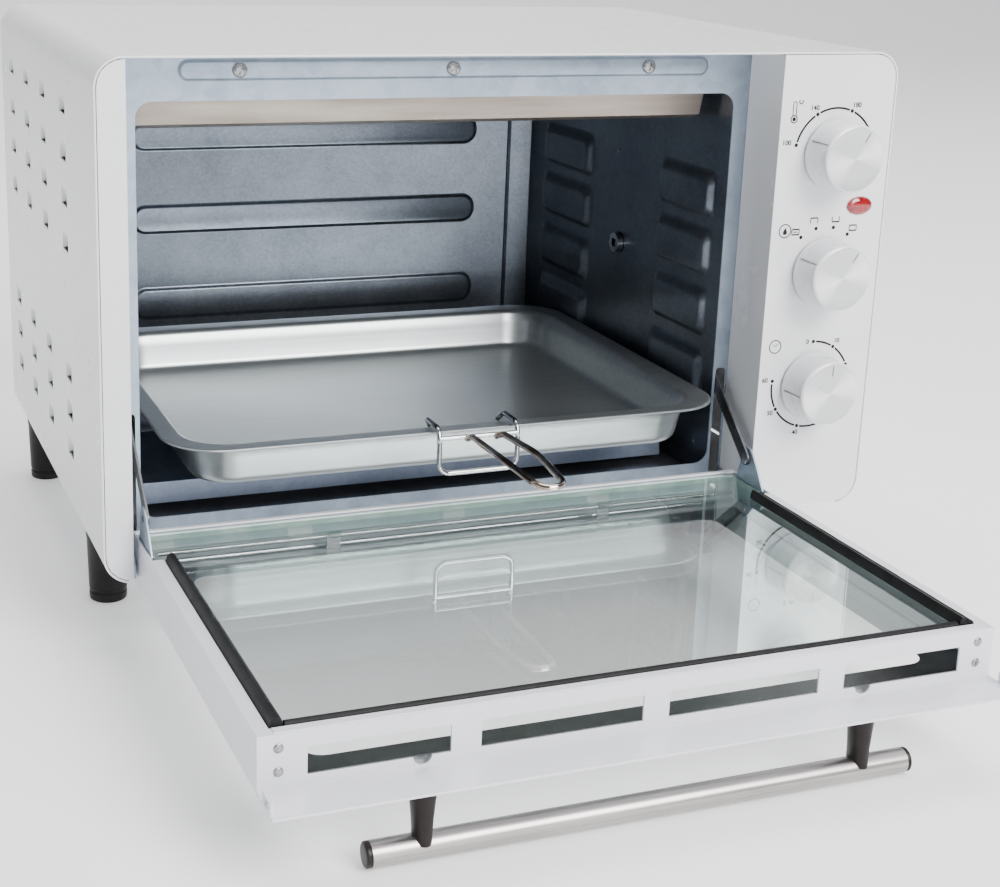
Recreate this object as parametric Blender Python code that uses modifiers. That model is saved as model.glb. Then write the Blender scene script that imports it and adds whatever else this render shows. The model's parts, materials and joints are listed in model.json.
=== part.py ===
"""Counter-top rotisserie oven with a bottom-hinged double-glazed door.

Dimensions are in millimetres in the constants below and are turned into
metres as the pieces are made.  X is across the front, Y runs into the oven
and Z is up, with the soles of the feet at Z = 0.  The door is modelled lying
open; its joint closes it.
"""
import math

import bmesh
import bpy
from mathutils import Matrix, Vector

# ---------------------------------------------------------------- constants
W = 480.0            # width over the shell
H = 284.0            # height of the casing
D = 340.0            # depth of the casing
FOOT = 46.0          # casing bottom above the soles
SHEET = 1.2          # painted sheet
THIN = 0.8           # aluminised sheet of the cavity
R_CORNER = 16.0      # rounded long edges of the shell
Y_MID = 40.975        # shift that centres the part on the Y axis
GAP = 0.3            # clearance between neighbours

TRIM_IN = -223.5     # inner edge of the left trim
PANEL_IN = 161.0     # inner edge of the control panel
Y_FRAME = 38.0       # front plane of the galvanised frame
OPEN_X0, OPEN_X1 = -211.4, 151.2
OPEN_Z0, OPEN_Z1 = FOOT + 22.0, FOOT + 256.0
CAV_XF0, CAV_XF1 = -212.3, 152.3     # side walls at the front
CAV_XR0, CAV_XR1 = -206.2, 146.2     # side walls at the rear
Y_CAV = 325.0
Y_CHAMFER = 318.4

DOOR_X0, DOOR_X1 = -220.5, 158.0
AXIS_Y, AXIS_Z = 13.0, FOOT + 4.5    # door hinge axis
AXIS_U, AXIS_V = 4.0, 19.0           # the same axis, in the door
DOOR_L = 255.0       # bottom wall to top wall
LEDGE = 24.0         # outer sheet beyond the top wall
DOOR_T = 27.0        # door thickness
DOOR_TILT = math.radians(0.4)
POST_X = 114.0
BAR_U, BAR_V, BAR_R, BAR_LEN = 256.0, 64.0, 6.25, 284.4

PIN_U, PIN_V = 20.0, -14.0           # link pivot on the door's ears
LINK_ANGLE = math.radians(41.0)
LINK_LEN = 96.0

KNOBS = (("temperature", 199.6, FOOT + 224.0), ("function", 198.6, FOOT + 152.5),
         ("timer", 197.6, FOOT + 81.0))
KNOB_R, KNOB_H = 20.5, 22.0

TRAY_X0, TRAY_X1 = -202.0, 142.0
TRAY_Y0, TRAY_Y1 = -2.0, 272.0
TRAY_RIM_Z = FOOT + 72.0
TRAY_H = 27.0

# ------------------------------------------------------------------- set-up
for old in list(bpy.data.objects):
    bpy.data.objects.remove(old, do_unlink=True)

parts = bpy.data.collections.new("rotisserie_oven")
cutters = bpy.data.collections.new("cutters")
bpy.context.scene.collection.children.link(parts)
bpy.context.scene.collection.children.link(cutters)

MATERIALS = {}


def material(name, color, rough, metal):
    if name not in MATERIALS:
        mat = bpy.data.materials.new(name)
        mat.use_nodes = True
        shader = mat.node_tree.nodes["Principled BSDF"]
        shader.inputs["Base Color"].default_value = (*color, 1.0)
        shader.inputs["Roughness"].default_value = rough
        shader.inputs["Metallic"].default_value = metal
        MATERIALS[name] = mat
    return MATERIALS[name]


WHITE = material("white_enamel", (0.86, 0.87, 0.9), 0.35, 0.0)
GALV = material("galvanised_sheet", (0.55, 0.6, 0.66), 0.35, 0.9)
CAVITY = material("aluminised_sheet", (0.36, 0.38, 0.41), 0.4, 0.9)
GUARD = material("guard_sheet", (0.5, 0.47, 0.42), 0.35, 0.9)
ELEMENT = material("element_sheath", (0.18, 0.17, 0.16), 0.6, 0.6)
BLACK = material("black_plastic", (0.02, 0.02, 0.02), 0.5, 0.0)
RUBBER = material("gasket_rubber", (0.02, 0.02, 0.02), 0.7, 0.0)
GLASS = material("door_glass", (0.75, 0.82, 0.8), 0.03, 0.0)
STEEL = material("brushed_steel", (0.62, 0.61, 0.6), 0.3, 1.0)
CHROME = material("chrome_wire", (0.75, 0.75, 0.75), 0.12, 1.0)
DARKST = material("dark_steel", (0.2, 0.2, 0.21), 0.4, 0.9)
KNOBW = material("knob_white", (0.85, 0.85, 0.87), 0.35, 0.0)
LENS = material("red_lens", (0.6, 0.02, 0.03), 0.15, 0.0)
TRAY = material("tray_aluminium", (0.72, 0.74, 0.74), 0.3, 1.0)
SPRING = material("spring_steel", (0.5, 0.5, 0.5), 0.35, 1.0)


def world(x, y, z):
    return Vector((x * 0.001, (y - Y_MID) * 0.001, z * 0.001))


def empty(name, loc, rot_x=0.0, parent=None):
    e = bpy.data.objects.new(name, None)
    e.location = loc
    e.rotation_euler = (rot_x, 0.0, 0.0)
    e.empty_display_size = 0.02
    parts.objects.link(e)
    if parent is not None:
        e.parent = parent
    return e


# The body frame: local millimetre coordinates are the design coordinates.
BODY = (None, Matrix.Translation((0.0, -Y_MID * 0.001, 0.0)) @ Matrix.Scale(0.001, 4))
door_axis = empty("door_axis", world(0.0, AXIS_Y, AXIS_Z), -DOOR_TILT)
# In the door frame a point is (x, -u, -v), u towards the handle, v outwards.
DOOR = (door_axis, Matrix.Translation((0.0, AXIS_U * 0.001, AXIS_V * 0.001)) @ Matrix.Scale(0.001, 4))


def at(frame_parent, loc):
    """A frame whose local origin is a joint's axis, for a piece that turns."""
    return (frame_parent, Matrix.Translation(loc) @ Matrix.Scale(0.001, 4))


def add_object(name, bm, mat, frame=BODY, smooth=False, cutter=False):
    bm.transform(frame[1])
    bmesh.ops.recalc_face_normals(bm, faces=bm.faces)
    if bm.calc_volume(signed=True) < 0:
        bmesh.ops.reverse_faces(bm, faces=bm.faces)
    mesh = bpy.data.meshes.new(name)
    bm.to_mesh(mesh)
    bm.free()
    ob = bpy.data.objects.new(name, mesh)
    if frame[0] is not None:
        ob.parent = frame[0]
    if cutter:
        cutters.objects.link(ob)
        ob.hide_render = True
        ob.display_type = "WIRE"
    else:
        parts.objects.link(ob)
        mesh.materials.append(mat)
    if smooth:
        mesh.shade_smooth()
        mesh.set_sharp_from_angle(angle=math.radians(35))
    return ob


def set_origin(ob, point):
    """Put a piece's origin on a point given in metres, leaving it in place."""
    ob.data.transform(Matrix.Translation(-point))
    ob.location = ob.location + point
    return ob


def bm_box(bm, lo, hi):
    lo, hi = Vector(lo), Vector(hi)
    size = hi - lo
    m = Matrix.Translation((lo + hi) / 2) @ Matrix.Diagonal((*size, 1.0))
    bmesh.ops.create_cube(bm, size=1.0, matrix=m)


def bm_rod(bm, a, b, r1, r2=None, seg=24):
    a, b = Vector(a), Vector(b)
    r2 = r1 if r2 is None else r2
    d = b - a
    m = Matrix.Translation((a + b) / 2) @ d.to_track_quat("Z", "Y").to_matrix().to_4x4()
    bmesh.ops.create_cone(bm, cap_ends=True, cap_tris=False, segments=seg,
                          radius1=r1, radius2=r2, depth=d.length, matrix=m)


def box(name, lo, hi, mat, frame=BODY, **kw):
    bm = bmesh.new()
    bm_box(bm, lo, hi)
    return add_object(name, bm, mat, frame, **kw)


def boxes(name, spans, mat, frame=BODY, **kw):
    bm = bmesh.new()
    for lo, hi in spans:
        bm_box(bm, lo, hi)
    return add_object(name, bm, mat, frame, **kw)


def rod(name, a, b, r1, mat, frame=BODY, r2=None, seg=24, **kw):
    bm = bmesh.new()
    bm_rod(bm, a, b, r1, r2, seg)
    kw.setdefault("smooth", True)
    return add_object(name, bm, mat, frame, **kw)


def boolean(ob, other, operation="DIFFERENCE"):
    mod = ob.modifiers.new(operation.lower(), "BOOLEAN")
    mod.operation = operation
    mod.solver = "EXACT"
    mod.object = other
    return mod


def bevel(ob, width, segments=2, angle=35.0):
    mod = ob.modifiers.new("bevel", "BEVEL")
    mod.width = width * 0.001
    mod.segments = segments
    mod.limit_method = "ANGLE"
    mod.angle_limit = math.radians(angle)
    return mod


def rrect(x0, y0, x1, y1, r, n=5, corners=(True, True, True, True)):
    """Rounded rectangle outline; corners are (x1y1, x0y1, x0y0, x1y0)."""
    pts = []
    spec = ((x1, y1, -1, -1, 0), (x0, y1, 1, -1, 90), (x0, y0, 1, 1, 180), (x1, y0, -1, 1, 270))
    for on, (cx, cy, sx, sy, a0) in zip(corners, spec):
        if not on:
            pts.append((cx, cy))
            continue
        for i in range(n + 1):
            a = math.radians(a0 + 90.0 * i / n)
            pts.append((cx + sx * r + r * math.cos(a), cy + sy * r + r * math.sin(a)))
    return pts


def circle(cx, cy, r, n=20):
    return [(cx + r * math.cos(2 * math.pi * i / n), cy + r * math.sin(2 * math.pi * i / n)) for i in range(n)]


def thick_path(points, t):
    """Closed outline of a bent strip; t > 0 thickens to the path's left."""
    n = len(points)
    dirs = []
    for i in range(n - 1):
        dx, dy = points[i + 1][0] - points[i][0], points[i + 1][1] - points[i][1]
        ln = math.hypot(dx, dy)
        dirs.append((dx / ln, dy / ln))
    off = []
    for i in range(n):
        a = dirs[max(i - 1, 0)]
        b = dirs[min(i, n - 2)]
        nx, ny = -(a[1] + b[1]), (a[0] + b[0])
        ln = math.hypot(nx, ny)
        nx, ny = nx / ln, ny / ln
        k = t / max(0.2, (nx * -a[1] + ny * a[0]))
        off.append((points[i][0] + nx * k, points[i][1] + ny * k))
    return list(points) + off[::-1]


AXES = {
    # plane: (first outline axis, second outline axis, direction of thickness)
    "XZ": Matrix(((1, 0, 0, 0), (0, 0, 1, 0), (0, 1, 0, 0), (0, 0, 0, 1))),
    "XY": Matrix(((1, 0, 0, 0), (0, 1, 0, 0), (0, 0, 1, 0), (0, 0, 0, 1))),
    "YZ": Matrix(((0, 0, 1, 0), (1, 0, 0, 0), (0, 1, 0, 0), (0, 0, 0, 1))),
}


def prism(name, outlines, plane, lo, hi, mat, frame=BODY, **kw):
    """A flat outline, with holes, given a thickness from lo to hi."""
    curve = bpy.data.curves.new(name + "_outline", "CURVE")
    curve.dimensions = "2D"
    curve.fill_mode = "BOTH"
    curve.render_resolution_u = 0
    curve.extrude = (hi - lo) / 2
    for pts in outlines:
        sp = curve.splines.new("POLY")
        sp.points.add(len(pts) - 1)
        for p, (a, b) in zip(sp.points, pts):
            p.co = (a, b, 0.0, 1.0)
        sp.use_cyclic_u = True
    tmp = bpy.data.objects.new(name + "_outline", curve)
    bpy.context.scene.collection.objects.link(tmp)
    bpy.context.view_layer.update()
    mesh = bpy.data.meshes.new_from_object(tmp.evaluated_get(bpy.context.evaluated_depsgraph_get()))
    bm = bmesh.new()
    bm.from_mesh(mesh)
    bpy.data.objects.remove(tmp, do_unlink=True)
    bpy.data.meshes.remove(mesh)
    bpy.data.curves.remove(curve)
    bmesh.ops.remove_doubles(bm, verts=bm.verts, dist=0.002)
    bm.transform(Matrix.Translation((0, 0, (lo + hi) / 2)))
    bm.transform(AXES[plane])
    return add_object(name, bm, mat, frame, **kw)


def wire(name, pts, radius, mat, frame=BODY, cyclic=False, res=2, cutter=False):
    """A bent wire or tube with filled ends, made from a curve."""
    curve = bpy.data.curves.new(name + "_path", "CURVE")
    curve.dimensions = "3D"
    curve.bevel_depth = radius
    curve.bevel_resolution = res
    curve.render_resolution_u = 0
    curve.use_fill_caps = True
    sp = curve.splines.new("POLY")
    sp.points.add(len(pts) - 1)
    for p, co in zip(sp.points, pts):
        p.co = (*co, 1.0)
    sp.use_cyclic_u = cyclic
    tmp = bpy.data.objects.new(name + "_path", curve)
    bpy.context.scene.collection.objects.link(tmp)
    bpy.context.view_layer.update()
    mesh = bpy.data.meshes.new_from_object(tmp.evaluated_get(bpy.context.evaluated_depsgraph_get()))
    bm = bmesh.new()
    bm.from_mesh(mesh)
    bpy.data.objects.remove(tmp, do_unlink=True)
    bpy.data.meshes.remove(mesh)
    bpy.data.curves.remove(curve)
    bmesh.ops.remove_doubles(bm, verts=bm.verts, dist=0.002)
    return add_object(name, bm, mat, frame, smooth=True, cutter=cutter)


def arc(cx, cy, r, a0, a1, n):
    return [(cx + r * math.cos(math.radians(a0 + (a1 - a0) * i / n)),
             cy + r * math.sin(math.radians(a0 + (a1 - a0) * i / n))) for i in range(n + 1)]


Z0, Z1 = FOOT, FOOT + H

# --------------------------------------------------------------- outer shell
hw = W / 2
path = (arc(-hw + R_CORNER, Z0 + R_CORNER, R_CORNER, 262, 180, 5)
        + arc(-hw + R_CORNER, Z1 - R_CORNER, R_CORNER, 180, 90, 5)
        + arc(hw - R_CORNER, Z1 - R_CORNER, R_CORNER, 90, 0, 5)
        + arc(hw - R_CORNER, Z0 + R_CORNER, R_CORNER, 0, -82, 5))
shell = prism("outer_shell", [thick_path(path, -SHEET)], "XZ", 0.0, D - 1.6, WHITE)
LOUVRE_Y = (293.0, 231.0, 167.0, 97.0)
LOUVRE_Z = (246.5, 220.0, 194.5, 168.5, 92.0, 69.0, 46.0)
slots = []
for ly in LOUVRE_Y:
    for lz in LOUVRE_Z:
        for side in (-1, 1):
            slots.append(((side * hw - 3, ly - 9, Z0 + lz - 1.6), (side * hw + 3, ly + 9, Z0 + lz + 1.6)))
boolean(shell, boxes("shell_louvre_cut", slots, None, cutter=True))

# ----------------------------------------------------- back, base and fronts
back_holes = [rrect(x, Z0 + 150 + k * 14, x + 26, Z0 + 154 + k * 14, 2, 2)
              for x in (190, ) for k in range(5)]
back_holes += [circle(205, Z0 + 40, 7.2, 20)]
prism("back_panel", [rrect(-hw + 1.6, Z0 + 2, hw - 1.6, Z1 - 1.6, 14.0, 5)] + back_holes,
      "XZ", D - 1.2, D, WHITE)
prism("base_plate", [[(-222, 39.6), (222, 39.6), (222, D - 2), (-222, D - 2)]]
      + [rrect(-120 + 60 * k, 150, -112 + 60 * k, 210, 3.9, 2) for k in range(5)],
      "XY", Z0 + 0.3, Z0 + 1.5, WHITE)

trim = prism("left_trim", [rrect(-hw + 1.6, Z0 + 1.6, TRIM_IN, Z1 - 1.6, 14.2, 5,
                                 (False, True, True, False))], "XZ", 0.3, 1.5, WHITE)
boolean(trim, box("trim_return", (TRIM_IN - SHEET, 0.9, Z0 + 2.0), (TRIM_IN, Y_FRAME - GAP, Z1 - 2.0),
                  None, cutter=True), "UNION")

panel_holes = [circle(x, z, 4.4, 20) for _, x, z in KNOBS]
LAMP_X, LAMP_Z = 221.0, FOOT + 192.0
panel_holes.append([(LAMP_X + 7.6 * math.cos(a * math.pi / 10), LAMP_Z + 4.6 * math.sin(a * math.pi / 10))
                    for a in range(20)])
panel = prism("control_panel", [rrect(PANEL_IN, Z0 + 1.6, hw - 1.6, Z1 - 1.6, 14.2, 5,
                                      (True, False, False, True))] + panel_holes,
              "XZ", 0.3, 1.5, WHITE)
boolean(panel, box("panel_return", (PANEL_IN, 0.9, Z0 + 2.0), (PANEL_IN + SHEET, Y_FRAME - GAP, Z1 - 2.0),
                   None, cutter=True), "UNION")

SLOT_Z0, SLOT_Z1 = Z0 + 8.0, Z0 + 84.0
frame_holes = [rrect(OPEN_X0, OPEN_Z0, OPEN_X1, OPEN_Z1, 9.0, 5),
               rrect(153.0, SLOT_Z0, 159.6, SLOT_Z1, 2.0, 2),
               rrect(-222.0, SLOT_Z0, -214.0, SLOT_Z1, 2.0, 2)]
SCREWS = (-155.0, -31.9, 91.1)
frame_holes += [circle(x, Z0 + 273.2, 2.0, 12) for x in SCREWS]
prism("front_frame", [rrect(-hw + 1.8, Z0 + 1.8, 192.0, Z1 - 1.8, 14.0, 5, (False, True, True, False))]
      + frame_holes, "XZ", Y_FRAME, Y_FRAME + 1.0, GALV)
for i, x in enumerate(SCREWS):
    bm = bmesh.new()
    bm_rod(bm, (x, Y_FRAME - 1.6, Z0 + 273.2), (x, Y_FRAME - 0.3, Z0 + 273.2), 2.4, 3.9, 16)
    s = add_object("frame_screw_%d" % (i + 1), bm, CHROME, smooth=True)
    boolean(s, rod("frame_screw_shank_%d" % (i + 1), (x, Y_FRAME - 1.0, Z0 + 273.2),
                   (x, Y_FRAME + 6.0, Z0 + 273.2), 1.6, None, seg=12, cutter=True), "UNION")

# -------------------------------------------------------------------- cavity
CZ0, CZ1 = Z0 + 12.0, Z0 + 261.0
left_wall = prism("cavity_left_wall", [thick_path([(CAV_XF0, Y_FRAME + 1.4), (CAV_XR0, Y_CHAMFER)], THIN)],
                  "XY", CZ0, CZ1, CAVITY)
right_wall = prism("cavity_right_wall", [thick_path([(CAV_XF1, Y_FRAME + 1.4), (CAV_XR1, Y_CHAMFER)], -THIN)],
                   "XY", CZ0, CZ1, CAVITY)
SUPPORT_ROWS = ((61.0, 93.0), (100.0, 132.0), (138.0, 170.0), (175.0, 206.0))


def supports(side):
    """Plan outlines of the two columns of pressed rack supports, following the slant of the wall."""
    def wall(y):
        f = (y - Y_FRAME) / (Y_CHAMFER - Y_FRAME)
        return (CAV_XF1 + f * (CAV_XR1 - CAV_XF1)) if side > 0 else (CAV_XF0 + f * (CAV_XR0 - CAV_XF0))

    return [[(wall(y0) + side * 0.4, y0), (wall(y0) - side * 0.4, y0), (wall(y0 + 4) - side * 4.0, y0 + 4),
             (wall(y1 - 4) - side * 4.0, y1 - 4), (wall(y1) - side * 0.4, y1), (wall(y1) + side * 0.4, y1)]
            for y0, y1 in ((52.0, 122.0), (215.0, 293.0))]


for low, top in SUPPORT_ROWS:
    boolean(left_wall, prism("left_supports_%d" % low, supports(-1), "XY", FOOT + low, FOOT + top, None, cutter=True),
            "UNION")
    boolean(right_wall, prism("right_supports_%d" % low, supports(1), "XY", FOOT + low, FOOT + top, None, cutter=True),
            "UNION")
SOCKET_Y, SOCKET_Z = 172.0, FOOT + 138.0
fs = (SOCKET_Y - Y_FRAME) / (Y_CHAMFER - Y_FRAME)
SOCKET_X = CAV_XF1 + fs * (CAV_XR1 - CAV_XF1)
boolean(right_wall, rod("socket_cut", (SOCKET_X - 6, SOCKET_Y, SOCKET_Z), (SOCKET_X + 6, SOCKET_Y, SOCKET_Z),
                        7.2, None, cutter=True))
prism("cavity_back_wall", [thick_path([(CAV_XR0, Y_CHAMFER + 0.5), (CAV_XR0 + 14, Y_CAV),
                                       (CAV_XR1 - 14, Y_CAV), (CAV_XR1, Y_CHAMFER + 0.5)], THIN)],
      "XY", CZ0, CZ1, CAVITY)
prism("cavity_roof", [[(-213.5, Y_FRAME + 1.4), (153.5, Y_FRAME + 1.4), (153.5, Y_CAV + 2), (-213.5, Y_CAV + 2)]],
      "XY", CZ1 + GAP, CZ1 + GAP + THIN, CAVITY)
prism("cavity_floor", [[(-213.5, Y_FRAME + 1.4), (153.5, Y_FRAME + 1.4), (153.5, Y_CAV + 2), (-213.5, Y_CAV + 2)]],
      "XY", CZ0 - GAP - THIN, CZ0 - GAP, CAVITY)

# guards in front of the heating elements, each a folded strip across the cavity
prism("upper_heater_guard", [thick_path([(62.0, Z0 + 254.0), (66.0, Z0 + 239.5), (76.0, Z0 + 236.5),
                                         (92.0, Z0 + 252.0)], THIN)],
      "YZ", -209.5, 144.0, GUARD)
prism("lower_heater_guard", [thick_path([(78.0, Z0 + 15.5), (80.0, Z0 + 27.5), (128.0, Z0 + 43.0),
                                         (132.0, Z0 + 39.0)], THIN)],
      "YZ", -208.0, 139.0, GUARD)

# sheathed heating elements through both side walls' inner faces
HEATERS = (("heater_upper_front", 84.0, Z0 + 239.0), ("heater_upper_rear", 268.0, Z0 + 240.0),
           ("heater_lower_front", 104.0, Z0 + 24.0), ("heater_lower_rear", 268.0, Z0 + 26.0))
for name, y, z in HEATERS:
    f = (y - Y_FRAME) / (Y_CHAMFER - Y_FRAME)
    x0 = CAV_XF0 + f * (CAV_XR0 - CAV_XF0) + 0.8
    x1 = CAV_XF1 + f * (CAV_XR1 - CAV_XF1) - 0.8
    h = bmesh.new()
    bm_rod(h, (x0, y, z), (x1, y, z), 3.4, seg=12)
    add_object(name, h, ELEMENT, smooth=True)

# rotisserie drive and the spit's free-end bracket
MX = SOCKET_X + 3.0
motor = box("rotisserie_motor", (MX, SOCKET_Y - 28, SOCKET_Z - 28), (MX + 40, SOCKET_Y + 28, SOCKET_Z + 28), DARKST)
bevel(motor, 3.0, 2)
boolean(motor, rod("motor_bore", (MX - 2, SOCKET_Y, SOCKET_Z), (MX + 9, SOCKET_Y, SOCKET_Z), 4.3, None, cutter=True))
sock = rod("drive_socket", (SOCKET_X - 4.5, SOCKET_Y, SOCKET_Z), (MX + 8.5, SOCKET_Y, SOCKET_Z), 4.0, CHROME)
boolean(sock, rod("drive_socket_flange", (SOCKET_X - 4.5, SOCKET_Y, SOCKET_Z), (SOCKET_X + 1.6, SOCKET_Y, SOCKET_Z),
                  6.6, None, cutter=True), "UNION")
boolean(sock, box("drive_socket_square", (SOCKET_X - 8, SOCKET_Y - 2.6, SOCKET_Z - 2.6),
                  (SOCKET_X + 5, SOCKET_Y + 2.6, SOCKET_Z + 2.6), None, cutter=True))
set_origin(sock, world(SOCKET_X, SOCKET_Y, SOCKET_Z))
BX = CAV_XF0 + fs * (CAV_XR0 - CAV_XF0) + 0.7
bracket = prism("spit_bracket", [rrect(SOCKET_Y - 11, SOCKET_Z - 22, SOCKET_Y + 11, SOCKET_Z + 6, 3, 3)],
                "YZ", BX, BX + 1.5, CHROME)
boolean(bracket, box("spit_bracket_lip", (BX + 1.0, SOCKET_Y - 11, SOCKET_Z - 20), (BX + 12, SOCKET_Y + 11, SOCKET_Z - 18.5),
                     None, cutter=True), "UNION")
boolean(bracket, box("spit_bracket_wall", (BX + 10.5, SOCKET_Y - 11, SOCKET_Z - 20), (BX + 12, SOCKET_Y + 11, SOCKET_Z + 6),
                     None, cutter=True), "UNION")
boolean(bracket, box("spit_bracket_notch", (BX + 8, SOCKET_Y - 4, SOCKET_Z - 4), (BX + 16, SOCKET_Y + 4, SOCKET_Z + 12),
                     None, cutter=True))

# ---------------------------------------------------------------------- feet
for name, x, y in (("foot_front_left", -221, 92), ("foot_front_right", 221, 92),
                   ("foot_rear_left", -221, 321), ("foot_rear_right", 221, 321)):
    foot = rod(name, (x, y, 0.0), (x, y, Z0 - GAP), 11.0, BLACK, r2=12.5, seg=24)
    bevel(foot, 1.0, 1, 50)

# ------------------------------------------------------------ control switches
SHAFT_R = 3.0
for label, x, z in KNOBS:
    body_name = {"temperature": "thermostat", "function": "function_switch", "timer": "timer_unit"}[label]
    depth = {"temperature": 22.0, "function": 18.0, "timer": 34.0}[label]
    sw = box(body_name, (x - 21, 4.0, z - 19), (x + 21, 4.0 + depth, z + 19), DARKST)
    bevel(sw, 2.0, 1)
    boolean(sw, rod(body_name + "_bore", (x, 2.0, z), (x, 14.0, z), SHAFT_R + 0.5, None, cutter=True))
    shaft = rod(label + "_shaft", (x, -12.0, z), (x, 12.5, z), SHAFT_R, STEEL, seg=16)
    set_origin(shaft, world(x, 0.0, z))
    knob = rod(label + "_knob", (x, -0.9, z), (x, -0.9 - KNOB_H, z), KNOB_R + 0.6, KNOBW, r2=KNOB_R - 0.9, seg=36)
    bevel(knob, 1.2, 1, 50)
    boolean(knob, rod(label + "_knob_bore", (x, 1.0, z), (x, -12.6, z), SHAFT_R + 0.35, None, seg=16, cutter=True))
    set_origin(knob, world(x, 0.0, z))

lens = bmesh.new()
m = Matrix.Translation((LAMP_X, 0.0, LAMP_Z)) @ Matrix.Rotation(math.radians(90), 4, "X")
bmesh.ops.create_cone(lens, cap_ends=True, segments=24, radius1=1.0, radius2=1.0, depth=5.0,
                      matrix=m @ Matrix.Diagonal((7.2, 4.2, 1.0, 1.0)))
lens_ob = add_object("indicator_lens", lens, LENS, smooth=True)
head = bmesh.new()
bmesh.ops.create_cone(head, cap_ends=True, segments=24, radius1=1.0, radius2=0.8, depth=2.0,
                      matrix=Matrix.Translation((0, -1.1, 0)) @ m @ Matrix.Diagonal((8.6, 5.4, 1.0, 1.0)))
boolean(lens_ob, add_object("indicator_lens_head", head, None, cutter=True), "UNION")

# cord gland in the back panel
gland = rod("cord_gland", (205, D - 6.0, Z0 + 40), (205, D + 2.5, Z0 + 40), 6.7, BLACK)
boolean(gland, rod("cord_gland_head", (205, D + 0.3, Z0 + 40), (205, D + 4.0, Z0 + 40), 10.0, None, r2=8.5, cutter=True), "UNION")
boolean(gland, rod("cord_gland_bore", (205, D - 12.0, Z0 + 40), (205, D + 8.0, Z0 + 40), 3.6, None, cutter=True))

# ---------------------------------------------------------------------- door
L, E, T = DOOR_L, LEDGE, DOOR_T


def dpt(x, u, v):
    return (x, -u, -v)


def dbox(name, lo, hi, mat, **kw):
    (x0, u0, v0), (x1, u1, v1) = lo, hi
    return box(name, (x0, -u1, -v1), (x1, -u0, -v0), mat, DOOR, **kw)


def dboxes(name, spans, mat, **kw):
    out = [((x0, -u1, -v1), (x1, -u0, -v0)) for (x0, u0, v0), (x1, u1, v1) in spans]
    return boxes(name, out, mat, DOOR, **kw)


door = dbox("door_frame", (DOOR_X0, 0.0, 0.0), (DOOR_X1, L, T), WHITE)
boolean(door, dbox("door_ledge", (DOOR_X0, L - 5, T - SHEET), (DOOR_X1, L + E, T), None, cutter=True), "UNION")
boolean(door, dboxes("door_clips", [((DOOR_X0, L + 8, T - 7), (DOOR_X0 + 1.2, L + E - 3, T - 0.6)),
                                    ((DOOR_X1 - 1.2, L + 8, T - 7), (DOOR_X1, L + E - 3, T - 0.6))],
                     None, cutter=True), "UNION")
boolean(door, dbox("door_hollow", (DOOR_X0 + SHEET, SHEET, SHEET), (DOOR_X1 - SHEET, L - SHEET, T - SHEET),
                   None, cutter=True))
boolean(door, dbox("door_mouth", (DOOR_X0 + 7.0, 3.0, -5), (DOOR_X1 - 7.0, L - 6.5, 5), None, cutter=True))
boolean(door, dbox("door_notch_left", (DOOR_X0 + SHEET, 4.0, -5), (DOOR_X0 + 8.0, 46.0, 5.5), None, cutter=True))
boolean(door, dbox("door_notch_right", (DOOR_X1 - 8.0, 4.0, -5), (DOOR_X1 - SHEET, 46.0, 5.5), None, cutter=True))
boolean(door, dbox("door_window", (DOOR_X0 + 14, 14, T - 5), (DOOR_X1 - 14, L - 14, T + 5), None, cutter=True))
XC = (DOOR_X0 + DOOR_X1) / 2
SLOTS = ((-198.0, -132.0), (-117.5, -37.0), (-23.5, 57.0), (71.5, 138.0))
slot_spans = []
for a, b in SLOTS:
    slot_spans.append(((a, L - 8, 8.0), (b, L + 6, 21.0)))
    slot_spans.append(((a, -6, 6.0), (b, 2.5, 14.5)))
boolean(door, dboxes("door_slots", slot_spans, None, cutter=True))
rod_cut = bmesh.new()
bm_rod(rod_cut, dpt(DOOR_X0 - 3, AXIS_U, AXIS_V), dpt(DOOR_X1 + 3, AXIS_U, AXIS_V), 2.0, seg=16)
boolean(door, add_object("door_rod_cut", rod_cut, None, DOOR, cutter=True))

glass = dbox("inner_glass", (DOOR_X0 + 3.4, 4.0, 1.6), (DOOR_X1 - 3.4, L - 1.8, 5.6), GLASS)
glass2 = dbox("outer_glass", (DOOR_X0 + 2.0, 9.0, T - SHEET - 4.3), (DOOR_X1 - 2.0, L - 1.8, T - SHEET - 0.3), GLASS)

GX0, GX1 = DOOR_X0 + 7.4, DOOR_X1 - 7.4
for name, x0, x1 in (("gasket_left", GX0, GX0 + 6.5), ("gasket_right", GX1 - 8.5, GX1)):
    dbox(name, (x0, 48.0, -4.2), (x1, L - 7.0, 1.25), RUBBER)
dbox("gasket_top", (GX0 + 7.0, L - 10.6, -1.6), (GX1 - 9.0, L - 7.0, 1.25), RUBBER)

# ears that carry the links, riveted inside the door's side walls
for name, x0 in (("ear_left", DOOR_X0 + SHEET + 0.35), ("ear_right", DOOR_X1 - SHEET - 0.35 - 1.2)):
    outline = [(-9.0, -16.0), (-40.0, -16.0), (-40.0, -1.0), (-33.0, 9.0)] \
        + [(-PIN_U + 7.0 * math.cos(math.radians(a)), -PIN_V + 7.0 * math.sin(math.radians(a)))
           for a in (150, 115, 80, 45, 10, -20)] + [(-9.0, -1.0)]
    ear = prism(name, [outline, circle(-PIN_U, -PIN_V, 2.2, 14)], "YZ", x0, x0 + 1.2, DARKST, DOOR)

hr = bmesh.new()
bm_rod(hr, dpt(DOOR_X0 - 2.2, AXIS_U, AXIS_V), dpt(DOOR_X1 + 2.2, AXIS_U, AXIS_V), 1.6, seg=16)
add_object("hinge_rod", hr, CHROME, DOOR, smooth=True)

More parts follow.
